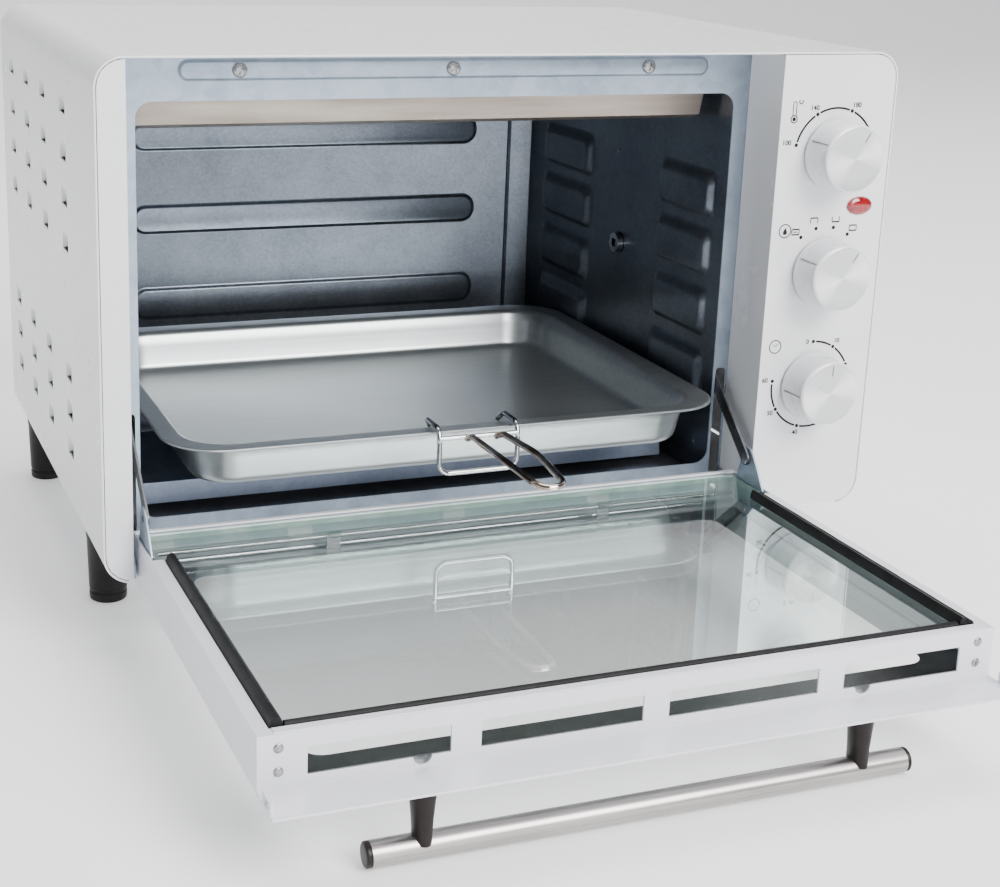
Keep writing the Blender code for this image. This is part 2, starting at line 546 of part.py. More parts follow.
bar = bmesh.new()
bx = XC + 1.0
bm_rod(bar, dpt(bx - BAR_LEN / 2, BAR_U, BAR_V), dpt(bx + BAR_LEN / 2, BAR_U, BAR_V), BAR_R, seg=28)
bar = add_object("handle_bar", bar, STEEL, DOOR, smooth=True)
bevel(bar, 0.8, 1, 50)
for name, x in (("handle_post_left", XC - POST_X), ("handle_post_right", XC + POST_X)):
    post = bmesh.new()
    bm_rod(post, dpt(x, BAR_U, T + 0.3), dpt(x, BAR_U, BAR_V - 1.0), 7.2, 5.2, 20)
    post = add_object(name, post, BLACK, DOOR, smooth=True)
    cut = bmesh.new()
    bm_rod(cut, dpt(x - 20, BAR_U, BAR_V), dpt(x + 20, BAR_U, BAR_V), BAR_R + 0.3, seg=28)
    boolean(post, add_object(name + "_saddle", cut, None, DOOR, cutter=True))

# hinge brackets on the body, one at each end of the rod
for name, x0 in (("hinge_bracket_left", DOOR_X0 - 2.2), ("hinge_bracket_right", DOOR_X1 + 1.0)):
    prism(name, [[(AXIS_Y - 8, AXIS_Z - 4), (Y_FRAME - 0.4, AXIS_Z - 4), (Y_FRAME - 0.4, AXIS_Z + 14),
                  (AXIS_Y - 2, AXIS_Z + 8), (AXIS_Y - 8, AXIS_Z + 4)], circle(AXIS_Y, AXIS_Z, 1.9, 16)],
          "YZ", x0, x0 + 1.2, GALV)

# --------------------------------------------------------------------- links
st, ct = math.sin(-DOOR_TILT), math.cos(-DOOR_TILT)
pin_y = AXIS_Y + (-(PIN_U - AXIS_U)) * ct - (-(PIN_V - AXIS_V)) * st
pin_z = AXIS_Z + (-(PIN_U - AXIS_U)) * st + (-(PIN_V - AXIS_V)) * ct
ca, sa = math.cos(LINK_ANGLE), math.sin(LINK_ANGLE)


def link_outline():
    """A flat bar with round ends and a hook hole, from the pin outwards."""
    w = 4.2
    pts = []
    for a in range(90, 271, 30):
        pts.append((w * math.cos(math.radians(a)), w * math.sin(math.radians(a))))
    for a in range(-90, 91, 30):
        pts.append((LINK_LEN + w * math.cos(math.radians(a)), w * math.sin(math.radians(a))))
    return [(p * ca - q * sa, p * sa + q * ca) for p, q in pts]


for name, x0 in (("link_left", DOOR_X0 + SHEET + 0.35 + 1.2 + 0.4), ("link_right", DOOR_X1 - SHEET - 0.35 - 1.2 - 0.4 - 1.3)):
    frame = (None, Matrix.Translation(world(0.0, pin_y, pin_z)) @ Matrix.Scale(0.001, 4))
    hook = [(LINK_LEN * ca + 2.0 * math.cos(2 * math.pi * k / 12), LINK_LEN * sa + 2.0 * math.sin(2 * math.pi * k / 12))
            for k in range(12)]
    ln = prism(name, [link_outline(), hook], "YZ", x0, x0 + 1.3, DARKST, frame)
    # the rivet through the ear
    side = -1 if x0 < 0 else 1
    xe = x0 + 0.65
    a = (xe, 0.0, 0.0)
    b = (xe + side * 2.6, 0.0, 0.0)
    pinb = bmesh.new()
    bm_rod(pinb, a, b, 1.9, seg=14)
    boolean(ln, add_object(name + "_rivet", pinb, None, frame, cutter=True), "UNION")
    set_origin(ln, world(x0 + 0.65, pin_y, pin_z))

# springs inside the side compartments that pull the links
end_y, end_z = pin_y + LINK_LEN * ca, pin_z + LINK_LEN * sa
for name, sx in (("door_spring_left", -226.5), ("door_spring_right", 165.0)):
    pts = []
    turns, n, r = 10, 7, 4.2
    y0, z0, y1, z1 = end_y + 2.0, end_z + 2.0, 130.0, FOOT + 190.0
    axis = Vector((0.0, y1 - y0, z1 - z0))
    ln_axis = axis.length
    axis.normalize()
    s1 = Vector((1, 0, 0))
    s2 = axis.cross(s1)
    base = Vector((sx, y0, z0))
    pts.append(base - axis * 1.0)
    for k in range(turns * n + 1):
        ang = 2 * math.pi * k / n
        along = 8.0 + (ln_axis - 16.0) * k / (turns * n)
        pts.append(base + axis * along + s1 * (r * math.cos(ang)) + s2 * (r * math.sin(ang)))
    pts.append(base + axis * (ln_axis + 1.0))
    wire(name, pts, 0.7, SPRING, res=0)

# ---------------------------------------------------------------------- tray
tw = TRAY_X1 - TRAY_X0
tray_bm = bmesh.new()


def tray_outline(inset, r):
    return rrect(TRAY_X0 + inset, TRAY_Y0 + inset, TRAY_X1 - inset, TRAY_Y1 - inset, r, 5)


def loft(sections):
    """Closed solid through same-count outlines, first and last capped."""
    bm = bmesh.new()
    rings = []
    for outline, z in sections:
        rings.append([bm.verts.new((x, y, z)) for x, y in outline])
    for a, b in zip(rings, rings[1:]):
        for i in range(len(a)):
            j = (i + 1) % len(a)
            bm.faces.new((a[i], a[j], b[j], b[i]))
    bm.faces.new(rings[0][::-1])
    bm.faces.new(rings[-1])
    return bm


z = TRAY_RIM_Z
tray = add_object("roasting_tray", loft([
    (tray_outline(22.0, 20.0), z - TRAY_H), (tray_outline(18.0, 24.0), z - TRAY_H + 3.0),
    (tray_outline(12.4, 28.0), z - 1.2), (tray_outline(0.0, 34.0), z - 1.2), (tray_outline(0.0, 34.0), z)]), TRAY)
boolean(tray, add_object("tray_hollow", loft([
    (tray_outline(23.0, 19.0), z - TRAY_H + 1.2), (tray_outline(19.2, 23.0), z - TRAY_H + 4.0),
    (tray_outline(13.6, 27.0), z - 1.2), (tray_outline(12.6, 28.0), z + 4.0)]), None, cutter=True))

# lifting tool: two hooks over the tray's front rim, joined below and above,
# and a long loop that folds about the upper cross wire
hx = -27.0
hy = TRAY_Y0 - 5.0
HOOK = 24.0
zt = TRAY_RIM_Z + 3.2
FOLD_Y, FOLD_Z = hy - 2.5, zt - 5.0
hooks = [(hx - HOOK + 3, hy + 21.5, zt - 4.5), (hx - HOOK, hy + 19, zt + 0.5), (hx - HOOK, hy + 1, zt + 0.5),
         (hx - HOOK, hy - 2.5, zt - 5), (hx - HOOK, hy - 2.5, zt - 22), (hx - HOOK + 4, hy - 2.5, zt - 26),
         (hx + HOOK - 4, hy - 2.5, zt - 26), (hx + HOOK, hy - 2.5, zt - 22), (hx + HOOK, hy - 2.5, zt - 5),
         (hx + HOOK, hy + 1, zt + 0.5), (hx + HOOK, hy + 19, zt + 0.5), (hx + HOOK - 3, hy + 21.5, zt - 4.5)]
hook_ob = wire("tray_handle_hooks", hooks, 1.5, CHROME)
boolean(hook_ob, rod("tray_handle_cross", (hx - HOOK, FOLD_Y, FOLD_Z), (hx + HOOK, FOLD_Y, FOLD_Z), 1.3, None,
                     seg=12, cutter=True), "UNION")
loop = [(hx - 9, FOLD_Y - 3.7, FOLD_Z), (hx - 9.5, FOLD_Y - 12, FOLD_Z + 4.0),
        (hx - 11, FOLD_Y - 56, FOLD_Z + 6), (hx - 8, FOLD_Y - 95, FOLD_Z + 4), (hx - 4, FOLD_Y - 101, FOLD_Z + 3.4),
        (hx + 4, FOLD_Y - 101, FOLD_Z + 3.4), (hx + 8, FOLD_Y - 95, FOLD_Z + 4), (hx + 11, FOLD_Y - 56, FOLD_Z + 6),
        (hx + 9.5, FOLD_Y - 12, FOLD_Z + 4.0), (hx + 9, FOLD_Y - 3.7, FOLD_Z)]
loop_ob = wire("tray_handle", loop, 1.9, CHROME)
set_origin(loop_ob, world(hx, FOLD_Y, FOLD_Z))
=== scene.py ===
"""Looks for the counter-top rotisserie oven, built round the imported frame."""
import json
import math
import random

import bmesh
import bpy
from mathutils import Matrix, Vector

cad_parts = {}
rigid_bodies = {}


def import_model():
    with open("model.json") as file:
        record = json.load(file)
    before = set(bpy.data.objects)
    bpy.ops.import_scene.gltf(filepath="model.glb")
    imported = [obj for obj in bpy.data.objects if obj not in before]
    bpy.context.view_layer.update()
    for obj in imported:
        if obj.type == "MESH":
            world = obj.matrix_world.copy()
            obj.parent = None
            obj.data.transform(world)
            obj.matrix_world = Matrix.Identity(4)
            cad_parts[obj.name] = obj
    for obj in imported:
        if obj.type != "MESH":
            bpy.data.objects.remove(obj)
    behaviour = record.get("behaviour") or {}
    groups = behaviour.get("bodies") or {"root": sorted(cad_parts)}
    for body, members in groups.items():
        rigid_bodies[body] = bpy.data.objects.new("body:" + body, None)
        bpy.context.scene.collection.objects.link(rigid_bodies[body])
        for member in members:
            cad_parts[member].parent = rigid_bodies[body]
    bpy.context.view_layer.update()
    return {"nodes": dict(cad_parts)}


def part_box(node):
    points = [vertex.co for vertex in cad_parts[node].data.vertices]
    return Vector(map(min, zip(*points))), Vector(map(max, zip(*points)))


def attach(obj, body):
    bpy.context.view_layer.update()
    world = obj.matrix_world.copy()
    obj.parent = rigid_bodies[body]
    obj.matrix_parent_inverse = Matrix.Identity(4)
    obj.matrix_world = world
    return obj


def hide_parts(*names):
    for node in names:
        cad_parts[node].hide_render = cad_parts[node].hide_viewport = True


for _o in list(bpy.data.objects):
    bpy.data.objects.remove(_o, do_unlink=True)

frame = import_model()
NODES = frame["nodes"]
rng = random.Random(7)

# ------------------------------------------------------------ main dimensions
W, H, D = 480.0, 284.0, 340.0
F = 46.0
Y_MID = 40.975
R_CORNER = 16.0
TRIM_IN, PANEL_IN = -223.5, 161.0
Y_FRAME = 38.0
OPEN_X0, OPEN_X1 = -211.4, 151.2
OPEN_Z0, OPEN_Z1 = F + 22.0, F + 256.0
CAV_XF0, CAV_XF1, CAV_XR0, CAV_XR1 = -212.3, 152.3, -206.2, 146.2
Y_CAV, Y_CHAMFER = 325.0, 318.4
DOOR_X0, DOOR_X1 = -220.5, 158.0
AXIS_Y, AXIS_Z, AXIS_U, AXIS_V = 13.0, F + 4.5, 4.0, 19.0
L, E, T = 255.0, 24.0, 27.0
TILT = math.radians(0.4)
XC = (DOOR_X0 + DOOR_X1) / 2
BAR_U, BAR_V, BAR_R, BAR_LEN = 256.0, 64.0, 6.25, 284.4
KNOBS = (("temperature", 199.6, F + 224.0), ("function", 198.6, F + 152.5), ("timer", 197.6, F + 81.0))
RIM_Z = F + 72.0
TX0, TX1, TY0, TY1 = -202.0, 142.0, -2.0, 272.0
CZ0, CZ1 = F + 12.0, F + 261.0

BODYM = Matrix.Translation((0, -Y_MID * 0.001, 0)) @ Matrix.Scale(0.001, 4)
DOORM = (Matrix.Translation((0, (AXIS_Y - Y_MID) * 0.001, AXIS_Z * 0.001)) @ Matrix.Rotation(-TILT, 4, "X")
         @ Matrix.Translation((0, AXIS_U * 0.001, AXIS_V * 0.001)) @ Matrix.Scale(0.001, 4))


# ------------------------------------------------------------------ materials
class Tree:
    """A small helper for building node materials."""

    def __init__(self, name):
        self.mat = bpy.data.materials.new(name)
        self.mat.use_nodes = True
        self.nt = self.mat.node_tree
        self.bsdf = self.nt.nodes["Principled BSDF"]
        self.coord = self.nt.nodes.new("ShaderNodeTexCoord")

    def set(self, **kw):
        for k, v in kw.items():
            key = {"color": "Base Color", "rough": "Roughness", "metal": "Metallic", "coat": "Coat Weight",
                   "coat_rough": "Coat Roughness", "spec": "Specular IOR Level", "ior": "IOR",
                   "trans": "Transmission Weight", "alpha": "Alpha", "aniso": "Anisotropic",
                   "sheen": "Sheen Weight"}[k]
            sock = self.bsdf.inputs[key]
            sock.default_value = (*v, 1.0) if k == "color" else v
        return self

    def node(self, kind, **props):
        n = self.nt.nodes.new(kind)
        for k, v in props.items():
            setattr(n, k, v)
        return n

    def link(self, a, b):
        self.nt.links.new(a, b)

    def mapped(self, scale, rot=(0, 0, 0), space="Object"):
        m = self.node("ShaderNodeMapping")
        m.inputs["Scale"].default_value = scale
        m.inputs["Rotation"].default_value = rot
        self.link(self.coord.outputs[space], m.inputs["Vector"])
        return m.outputs["Vector"]

    def noise(self, scale, detail=4.0, rough=0.5, vec=None, distort=0.0):
        n = self.node("ShaderNodeTexNoise")
        n.inputs["Scale"].default_value = scale
        n.inputs["Detail"].default_value = detail
        n.inputs["Roughness"].default_value = rough
        n.inputs["Distortion"].default_value = distort
        self.link(vec if vec is not None else self.coord.outputs["Object"], n.inputs["Vector"])
        return n.outputs["Fac"]

    def voronoi(self, scale, vec=None, feature="F1", out="Color"):
        n = self.node("ShaderNodeTexVoronoi", feature=feature)
        n.inputs["Scale"].default_value = scale
        self.link(vec if vec is not None else self.coord.outputs["Object"], n.inputs["Vector"])
        return n.outputs[out]

    def ramp(self, fac, stops):
        n = self.node("ShaderNodeValToRGB")
        cr = n.color_ramp
        while len(cr.elements) < len(stops):
            cr.elements.new(0.5)
        for e, (p, c) in zip(cr.elements, stops):
            e.position = p
            e.color = (*c, 1.0) if len(c) == 3 else c
        self.link(fac, n.inputs["Fac"])
        return n.outputs["Color"]

    def math(self, op, a, b=None, c=None):
        n = self.node("ShaderNodeMath", operation=op)
        for i, v in enumerate((a, b, c)):
            if v is None:
                continue
            if isinstance(v, (int, float)):
                n.inputs[i].default_value = v
            else:
                self.link(v, n.inputs[i])
        return n.outputs[0]

    def span(self, fac, lo, hi):
        n = self.node("ShaderNodeMapRange")
        n.inputs["To Min"].default_value = lo
        n.inputs["To Max"].default_value = hi
        self.link(fac, n.inputs["Value"])
        return n.outputs["Result"]

    def color(self, out):
        self.link(out, self.bsdf.inputs["Base Color"])
        return self

    def rough(self, out):
        self.link(out, self.bsdf.inputs["Roughness"])
        return self

    def bump(self, height, dist, strength=1.0, chain=None):
        n = self.node("ShaderNodeBump")
        n.inputs["Distance"].default_value = dist
        n.inputs["Strength"].default_value = strength
        self.link(height, n.inputs["Height"])
        if chain is not None:
            self.link(chain, n.inputs["Normal"])
        self.link(n.outputs["Normal"], self.bsdf.inputs["Normal"])
        return n.outputs["Normal"]


def mix_color(t, fac, a, b):
    n = t.node("ShaderNodeMix", data_type="RGBA")
    t.link(fac, n.inputs["Factor"])
    for sock, v in ((n.inputs[6], a), (n.inputs[7], b)):
        if isinstance(v, tuple):
            sock.default_value = (*v, 1.0)
        else:
            t.link(v, sock)
    return n.outputs[2]


def enamel(name, base, shade, rough=(0.2, 0.32)):
    t = Tree(name).set(metal=0.0, coat=0.35, coat_rough=0.12, spec=0.5)
    t.color(t.ramp(t.noise(9.0, 5.0, 0.6), [(0.3, shade), (0.7, base)]))
    t.rough(t.span(t.noise(30.0, 5.0, 0.65), *rough))
    t.bump(t.noise(900.0, 2.0, 0.5), 0.00004, 0.55)
    return t.mat


def galvanised(name, tones, rough=(0.22, 0.42), scale=130.0, metal=0.85, flakes=0.1):
    t = Tree(name).set(metal=metal)
    cells = t.voronoi(scale)
    sep = t.node("ShaderNodeSeparateColor")
    t.link(cells, sep.inputs["Color"])
    soft = t.noise(14.0, 6.0, 0.6)
    fine = t.noise(160.0, 5.0, 0.7)
    both = t.math("ADD", t.math("MULTIPLY", sep.outputs["Red"], flakes), t.math("MULTIPLY", soft, 0.62))
    both = t.math("ADD", both, t.math("MULTIPLY", fine, 0.2))
    t.color(t.ramp(both, [(0.25, tones[0]), (0.5, tones[1]), (0.8, tones[2])]))
    t.rough(t.span(t.math("ADD", t.math("MULTIPLY", sep.outputs["Green"], flakes), t.math("MULTIPLY", soft, 1.0 - flakes)), *rough))
    t.bump(t.noise(420.0, 3.0, 0.6), 0.00003, 0.5)
    return t.mat


WHITE = enamel("white_enamel_paint", (0.8, 0.806, 0.83), (0.765, 0.772, 0.8))
WHITE_DOOR = enamel("white_enamel_door", (0.78, 0.783, 0.835), (0.725, 0.73, 0.79), (0.24, 0.38))
GALV = galvanised("galvanised_sheet", ((0.23, 0.28, 0.345), (0.34, 0.405, 0.485), (0.46, 0.53, 0.61)), (0.3, 0.46), 130.0, 0.75, 0.12)
CAVITY = galvanised("aluminised_cavity", ((0.11, 0.125, 0.155), (0.19, 0.215, 0.255), (0.28, 0.31, 0.36)), (0.24, 0.36), 700.0, 0.85, 0.12)
FLOORM = galvanised("aluminised_floor", ((0.08, 0.085, 0.1), (0.15, 0.16, 0.19), (0.22, 0.24, 0.28)), (0.26, 0.4), 500.0, 0.8, 0.08)


def guard_material():
    t = Tree("heat_tinted_guard").set(metal=0.8)
    streak = t.noise(30.0, 4.0, 0.55, t.mapped((0.25, 3.0, 3.0)))
    t.color(t.ramp(streak, [(0.25, (0.2, 0.165, 0.14)), (0.55, (0.33, 0.28, 0.245)), (0.85, (0.46, 0.4, 0.36))]))
    t.rough(t.span(t.noise(60.0), 0.25, 0.45))
    t.bump(t.noise(300.0), 0.00004, 0.5)
    return t.mat


GUARD = guard_material()
GUARD_LOW = galvanised("lower_guard_sheet", ((0.17, 0.205, 0.285), (0.27, 0.315, 0.41), (0.38, 0.43, 0.53)), (0.26, 0.4), 400.0, 0.8, 0.06)


def element_material():
    t = Tree("element_sheath").set(metal=0.5)
    t.color(t.ramp(t.noise(80.0, 6.0, 0.7), [(0.3, (0.05, 0.045, 0.04)), (0.7, (0.2, 0.18, 0.16))]))
    t.rough(t.span(t.noise(120.0), 0.45, 0.75))
    t.bump(t.noise(500.0, 6.0, 0.7), 0.0001, 0.6)
    return t.mat


def plastic(name, a, b, rough, scale=60.0, bump=0.00006, coat=0.0, spec=0.5):
    t = Tree(name).set(metal=0.0, coat=coat, spec=spec)
    t.color(t.ramp(t.noise(scale, 5.0, 0.6), [(0.3, a), (0.75, b)]))
    t.rough(t.span(t.noise(scale * 1.7, 4.0, 0.6), *rough))
    t.bump(t.noise(1400.0, 3.0, 0.55), bump, 0.6)
    return t.mat


ELEMENT = element_material()
BLACK = plastic("black_moulded_plastic", (0.006, 0.0055, 0.0055), (0.016, 0.014, 0.0135), (0.34, 0.5), spec=0.22)
POSTM = plastic("post_moulded_plastic", (0.006, 0.0045, 0.004), (0.017, 0.013, 0.0115), (0.3, 0.44), spec=0.22)
RUBBER = plastic("silicone_seal", (0.005, 0.005, 0.005), (0.014, 0.014, 0.015), (0.4, 0.6), 90.0, 0.0001, spec=0.2)
INK = plastic("printed_ink", (0.006, 0.006, 0.007), (0.014, 0.014, 0.016), (0.4, 0.55), 200.0, spec=0.2)
INK_RED = plastic("printed_pointer_grey", (0.12, 0.125, 0.135), (0.2, 0.205, 0.215), (0.3, 0.45), 200.0)
BORDER = plastic("black_glass_border", (0.004, 0.004, 0.004), (0.012, 0.012, 0.013), (0.2, 0.3), 80.0, 0.00002)
KNOBM = plastic("knob_side_plastic", (0.78, 0.79, 0.82), (0.86, 0.87, 0.89), (0.22, 0.34), 30.0, 0.00003, 0.3)


def brushed(name, base, dark, axis=0, rough=(0.2, 0.38), scale=260.0, metal=1.0, bump=0.00005):
    t = Tree(name).set(metal=metal)
    sc = [1.0, 1.0, 1.0]
    sc[axis] = 0.012
    grain = t.noise(scale * 4, 3.0, 0.6, t.mapped(tuple(sc)))
    broad = t.noise(18.0, 4.0, 0.5)
    mixv = t.math("ADD", t.math("MULTIPLY", grain, 0.65), t.math("MULTIPLY", broad, 0.35))
    t.color(t.ramp(mixv, [(0.3, dark), (0.7, base)]))
    t.rough(t.span(grain, *rough))
    t.bump(grain, bump, 0.6)
    return t.mat


BAR = brushed("brushed_stainless_bar", (0.5, 0.475, 0.46), (0.3, 0.28, 0.27), 0, (0.22, 0.4))
STEEL = brushed("turned_steel", (0.4, 0.4, 0.41), (0.24, 0.24, 0.25), 1)
DARKSTEEL = galvanised("dark_zinc_steel", ((0.07, 0.07, 0.075), (0.15, 0.15, 0.16), (0.24, 0.24, 0.25)), (0.3, 0.5), 300.0, 0.85)
TRAYM = brushed("pressed_aluminium", (0.56, 0.595, 0.6), (0.45, 0.48, 0.495), 0, (0.26, 0.38), 60.0, 0.9, 0.00001)


def chrome(name, tint=None, amount=0.0):
    t = Tree(name).set(metal=1.0)
    n = t.noise(34.0, 5.0, 0.6, t.mapped((1.0, 0.5, 1.0)))
    if tint is None:
        t.color(t.ramp(n, [(0.3, (0.42, 0.42, 0.44)), (0.7, (0.62, 0.62, 0.64))]))
    else:
        t.color(t.ramp(n, [(0.32, (0.72, 0.71, 0.7)), (0.48, tint), (0.62, (0.62, 0.55, 0.5))]))
    t.rough(t.span(t.noise(120.0), 0.06, 0.16))
    t.bump(t.noise(700.0, 3.0), 0.00002, 0.4)
    return t.mat


CHROME = chrome("bright_chrome")
CHROME_BROWN = chrome("heat_stained_chrome", (0.36, 0.24, 0.17))


def knob_face():
    """Spun metal: fine concentric grooves, and a painted sheen: the colour lightens and darkens with angle round the
    face.
    """
    t = Tree("spun_knob_face").set(metal=0.35, coat=0.2, coat_rough=0.15)
    sep = t.node("ShaderNodeSeparateXYZ")
    t.link(t.coord.outputs["Object"], sep.inputs["Vector"])
    ang = t.math("ARCTAN2", sep.outputs["Z"], sep.outputs["X"])
    painted_sheen_by_angle = t.math("SINE", t.math("MULTIPLY_ADD", ang, 2.0, 0.9))
    r = t.math("SQRT", t.math("ADD", t.math("MULTIPLY", sep.outputs["X"], sep.outputs["X"]),
                              t.math("MULTIPLY", sep.outputs["Z"], sep.outputs["Z"])))
    rings = t.math("SINE", t.math("MULTIPLY", r, 8000.0))
    # painted sheen: the face colour runs from grey to near-white with angle, standing in for the spun metal's light
    t.color(t.ramp(t.span(painted_sheen_by_angle, 0.0, 1.0), [(0.0, (0.6, 0.61, 0.63)), (0.55, (0.74, 0.75, 0.77)), (1.0, (0.9, 0.9, 0.91))]))
    t.rough(t.span(t.noise(90.0), 0.26, 0.3))
    t.bump(rings, 0.000003, 0.4)
    return t.mat


FACE = knob_face()


def glass_material(name, tint, ior, gain, floor_alpha, specks=False):
    """A pane that is clear from above and mirrors at a low angle."""
    t = Tree(name).set(metal=1.0, rough=0.02)
    lw = t.node("ShaderNodeLayerWeight")
    lw.inputs["Blend"].default_value = 0.5
    schlick = t.math("POWER", lw.outputs["Facing"], ior)
    a = t.math("ADD", t.math("MULTIPLY", schlick, gain), floor_alpha)
    a = t.math("MINIMUM", a, 0.9)
    smear = t.noise(7.0, 5.0, 0.6)
    t.color(t.ramp(smear, [(0.3, tint), (0.7, tuple(min(1.0, c * 1.05) for c in tint))]))
    if specks:
        dots = t.voronoi(120.0, None, "F1", "Distance")
        pick = t.noise(26.0, 4.0, 0.7)
        hit = t.math("MULTIPLY", t.math("LESS_THAN", dots, 0.06), t.math("GREATER_THAN", pick, 0.54))
        a = t.math("MAXIMUM", a, t.math("MULTIPLY", hit, 0.8))
        t.rough(t.span(hit, 0.015, 0.55))
    t.link(a, t.bsdf.inputs["Alpha"])
    t.bump(t.noise(3.5, 2.0), 0.0006, 0.02)
    return t.mat


GLASS_IN = glass_material("inner_pane_glass", (0.8, 0.92, 0.88), 2.6, 1.3, 0.04, True)
GLASS_OUT = glass_material("outer_pane_glass", (0.86, 0.95, 0.92), 6.0, 0.5, 0.03)


def lens_material():
    t = Tree("red_indicator_lens").set(metal=0.0, coat=1.0, coat_rough=0.03, rough=0.12, trans=0.15, ior=1.49)
    t.color(t.ramp(t.noise(420.0, 4.0, 0.6), [(0.35, (0.2, 0.0, 0.004)), (0.7, (0.42, 0.006, 0.012))]))
    t.bump(t.voronoi(700.0, None, "F1", "Distance"), 0.0001, 0.4)
    return t.mat


LENSM = lens_material()


# ------------------------------------------------------------------ geometry
def new_object(name, bm, mat, m=BODYM, smooth=True, origin=None, angle=32):
    bm.transform(m)
    bmesh.ops.recalc_face_normals(bm, faces=bm.faces)
    if bm.calc_volume(signed=True) < 0:
        bmesh.ops.reverse_faces(bm, faces=bm.faces)
    if origin is not None:
        bm.transform(Matrix.Translation(-origin))
    me = bpy.data.meshes.new(name)
    bm.to_mesh(me)
    bm.free()
    me.materials.append(mat)
    if smooth:
        me.shade_smooth()
        me.set_sharp_from_angle(angle=math.radians(angle))
    ob = bpy.data.objects.new(name, me)
    if origin is not None:
        ob.location = origin
    bpy.context.scene.collection.objects.link(ob)
    return ob


def bevel(ob, width, segments=2, angle=32.0, harden=True):
    mod = ob.modifiers.new("edge", "BEVEL")
    mod.width = width * 0.001
    mod.segments = segments
    mod.limit_method = "ANGLE"
    mod.angle_limit = math.radians(angle)
    mod.harden_normals = harden
    return ob


def stand_for(ob, body, slot, *nodes):
    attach(ob, body)
    if nodes:
        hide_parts(*nodes)
    return ob


def refine(node, body, mat, slot, width=0.35, segments=2, angle=35.0):
    """A node's own shape with softened edges, standing for that node."""
    bm = bmesh.new()
    bm.from_mesh(NODES[node].data)
    bmesh.ops.remove_doubles(bm, verts=bm.verts, dist=0.000005)
    bmesh.ops.dissolve_limit(bm, angle_limit=math.radians(1.0), verts=bm.verts, edges=bm.edges)
    ob = new_object(node + "_skin", bm, mat, Matrix.Identity(4), True, None, angle)
    if width:
        bevel(ob, width, segments, angle)
    return stand_for(ob, body, slot, node)


def keep(node, mat):
    ob = NODES[node]
    ob.data.materials.clear()
    ob.data.materials.append(mat)
    for p in ob.data.polygons:
        p.material_index = 0


def rrect(x0, y0, x1, y1, r, n=8):
    pts = []
    for cx, cy, sx, sy, a0 in ((x1, y1, -1, -1, 0), (x0, y1, 1, -1, 90), (x0, y0, 1, 1, 180), (x1, y0, -1, 1, 270)):
        for i in range(n + 1):
            a = math.radians(a0 + 90.0 * i / n)
            pts.append((cx + sx * r + r * math.cos(a), cy + sy * r + r * math.sin(a)))
    return pts


def rrect4(x0, y0, x1, y1, radii, n=8):
    """Rounded rectangle with its own radius at x1y1, x0y1, x0y0 and x1y0."""
    pts = []
    for r, (cx, cy, sx, sy, a0) in zip(radii, ((x1, y1, -1, -1, 0), (x0, y1, 1, -1, 90), (x0, y0, 1, 1, 180),
                                               (x1, y0, -1, 1, 270))):
        if r <= 0:
            pts.append((cx, cy))
            continue
        for i in range(n + 1):
            a = math.radians(a0 + 90.0 * i / n)
            pts.append((cx + sx * r + r * math.cos(a), cy + sy * r + r * math.sin(a)))
    return pts


def circle(cx, cy, r, n=28, ry=None):
    ry = r if ry is None else ry
    return [(cx + r * math.cos(2 * math.pi * i / n), cy + ry * math.sin(2 * math.pi * i / n)) for i in range(n)]


def arc(cx, cy, r, a0, a1, n):
    return [(cx + r * math.cos(math.radians(a0 + (a1 - a0) * i / n)),
             cy + r * math.sin(math.radians(a0 + (a1 - a0) * i / n))) for i in range(n + 1)]


AXES = {"XZ": Matrix(((1, 0, 0, 0), (0, 0, 1, 0), (0, 1, 0, 0), (0, 0, 0, 1))),
        "XY": Matrix.Identity(4),
        "YZ": Matrix(((0, 0, 1, 0), (1, 0, 0, 0), (0, 1, 0, 0), (0, 0, 0, 1)))}


def plate_bm(outlines, plane, lo, hi):
    curve = bpy.data.curves.new("outline", "CURVE")
    curve.dimensions = "2D"
    curve.fill_mode = "BOTH"
    curve.extrude = (hi - lo) / 2
    for pts in outlines:
        sp = curve.splines.new("POLY")
        sp.points.add(len(pts) - 1)
        for p, (a, b) in zip(sp.points, pts):
            p.co = (a, b, 0.0, 1.0)
        sp.use_cyclic_u = True
    tmp = bpy.data.objects.new("outline", curve)
    bpy.context.scene.collection.objects.link(tmp)
    bpy.context.view_layer.update()
    mesh = bpy.data.meshes.new_from_object(tmp.evaluated_get(bpy.context.evaluated_depsgraph_get()))
    bm = bmesh.new()
    bm.from_mesh(mesh)
    bpy.data.objects.remove(tmp, do_unlink=True)
    bpy.data.meshes.remove(mesh)
    bpy.data.curves.remove(curve)
    bmesh.ops.remove_doubles(bm, verts=bm.verts, dist=0.002)
    bm.transform(Matrix.Translation((0, 0, (lo + hi) / 2)))
    bm.transform(AXES[plane])
    return bm


def plate(name, outlines, plane, lo, hi, mat, m=BODYM, edge=0.25, segs=2, **kw):
    ob = new_object(name, plate_bm(outlines, plane, lo, hi), mat, m, **kw)
    if edge:
        bevel(ob, edge, segs)
    return ob


def join_bm(dst, src):
    me = bpy.data.meshes.new("tmp_join")
    src.to_mesh(me)
    src.free()
    dst.from_mesh(me)
    bpy.data.meshes.remove(me)


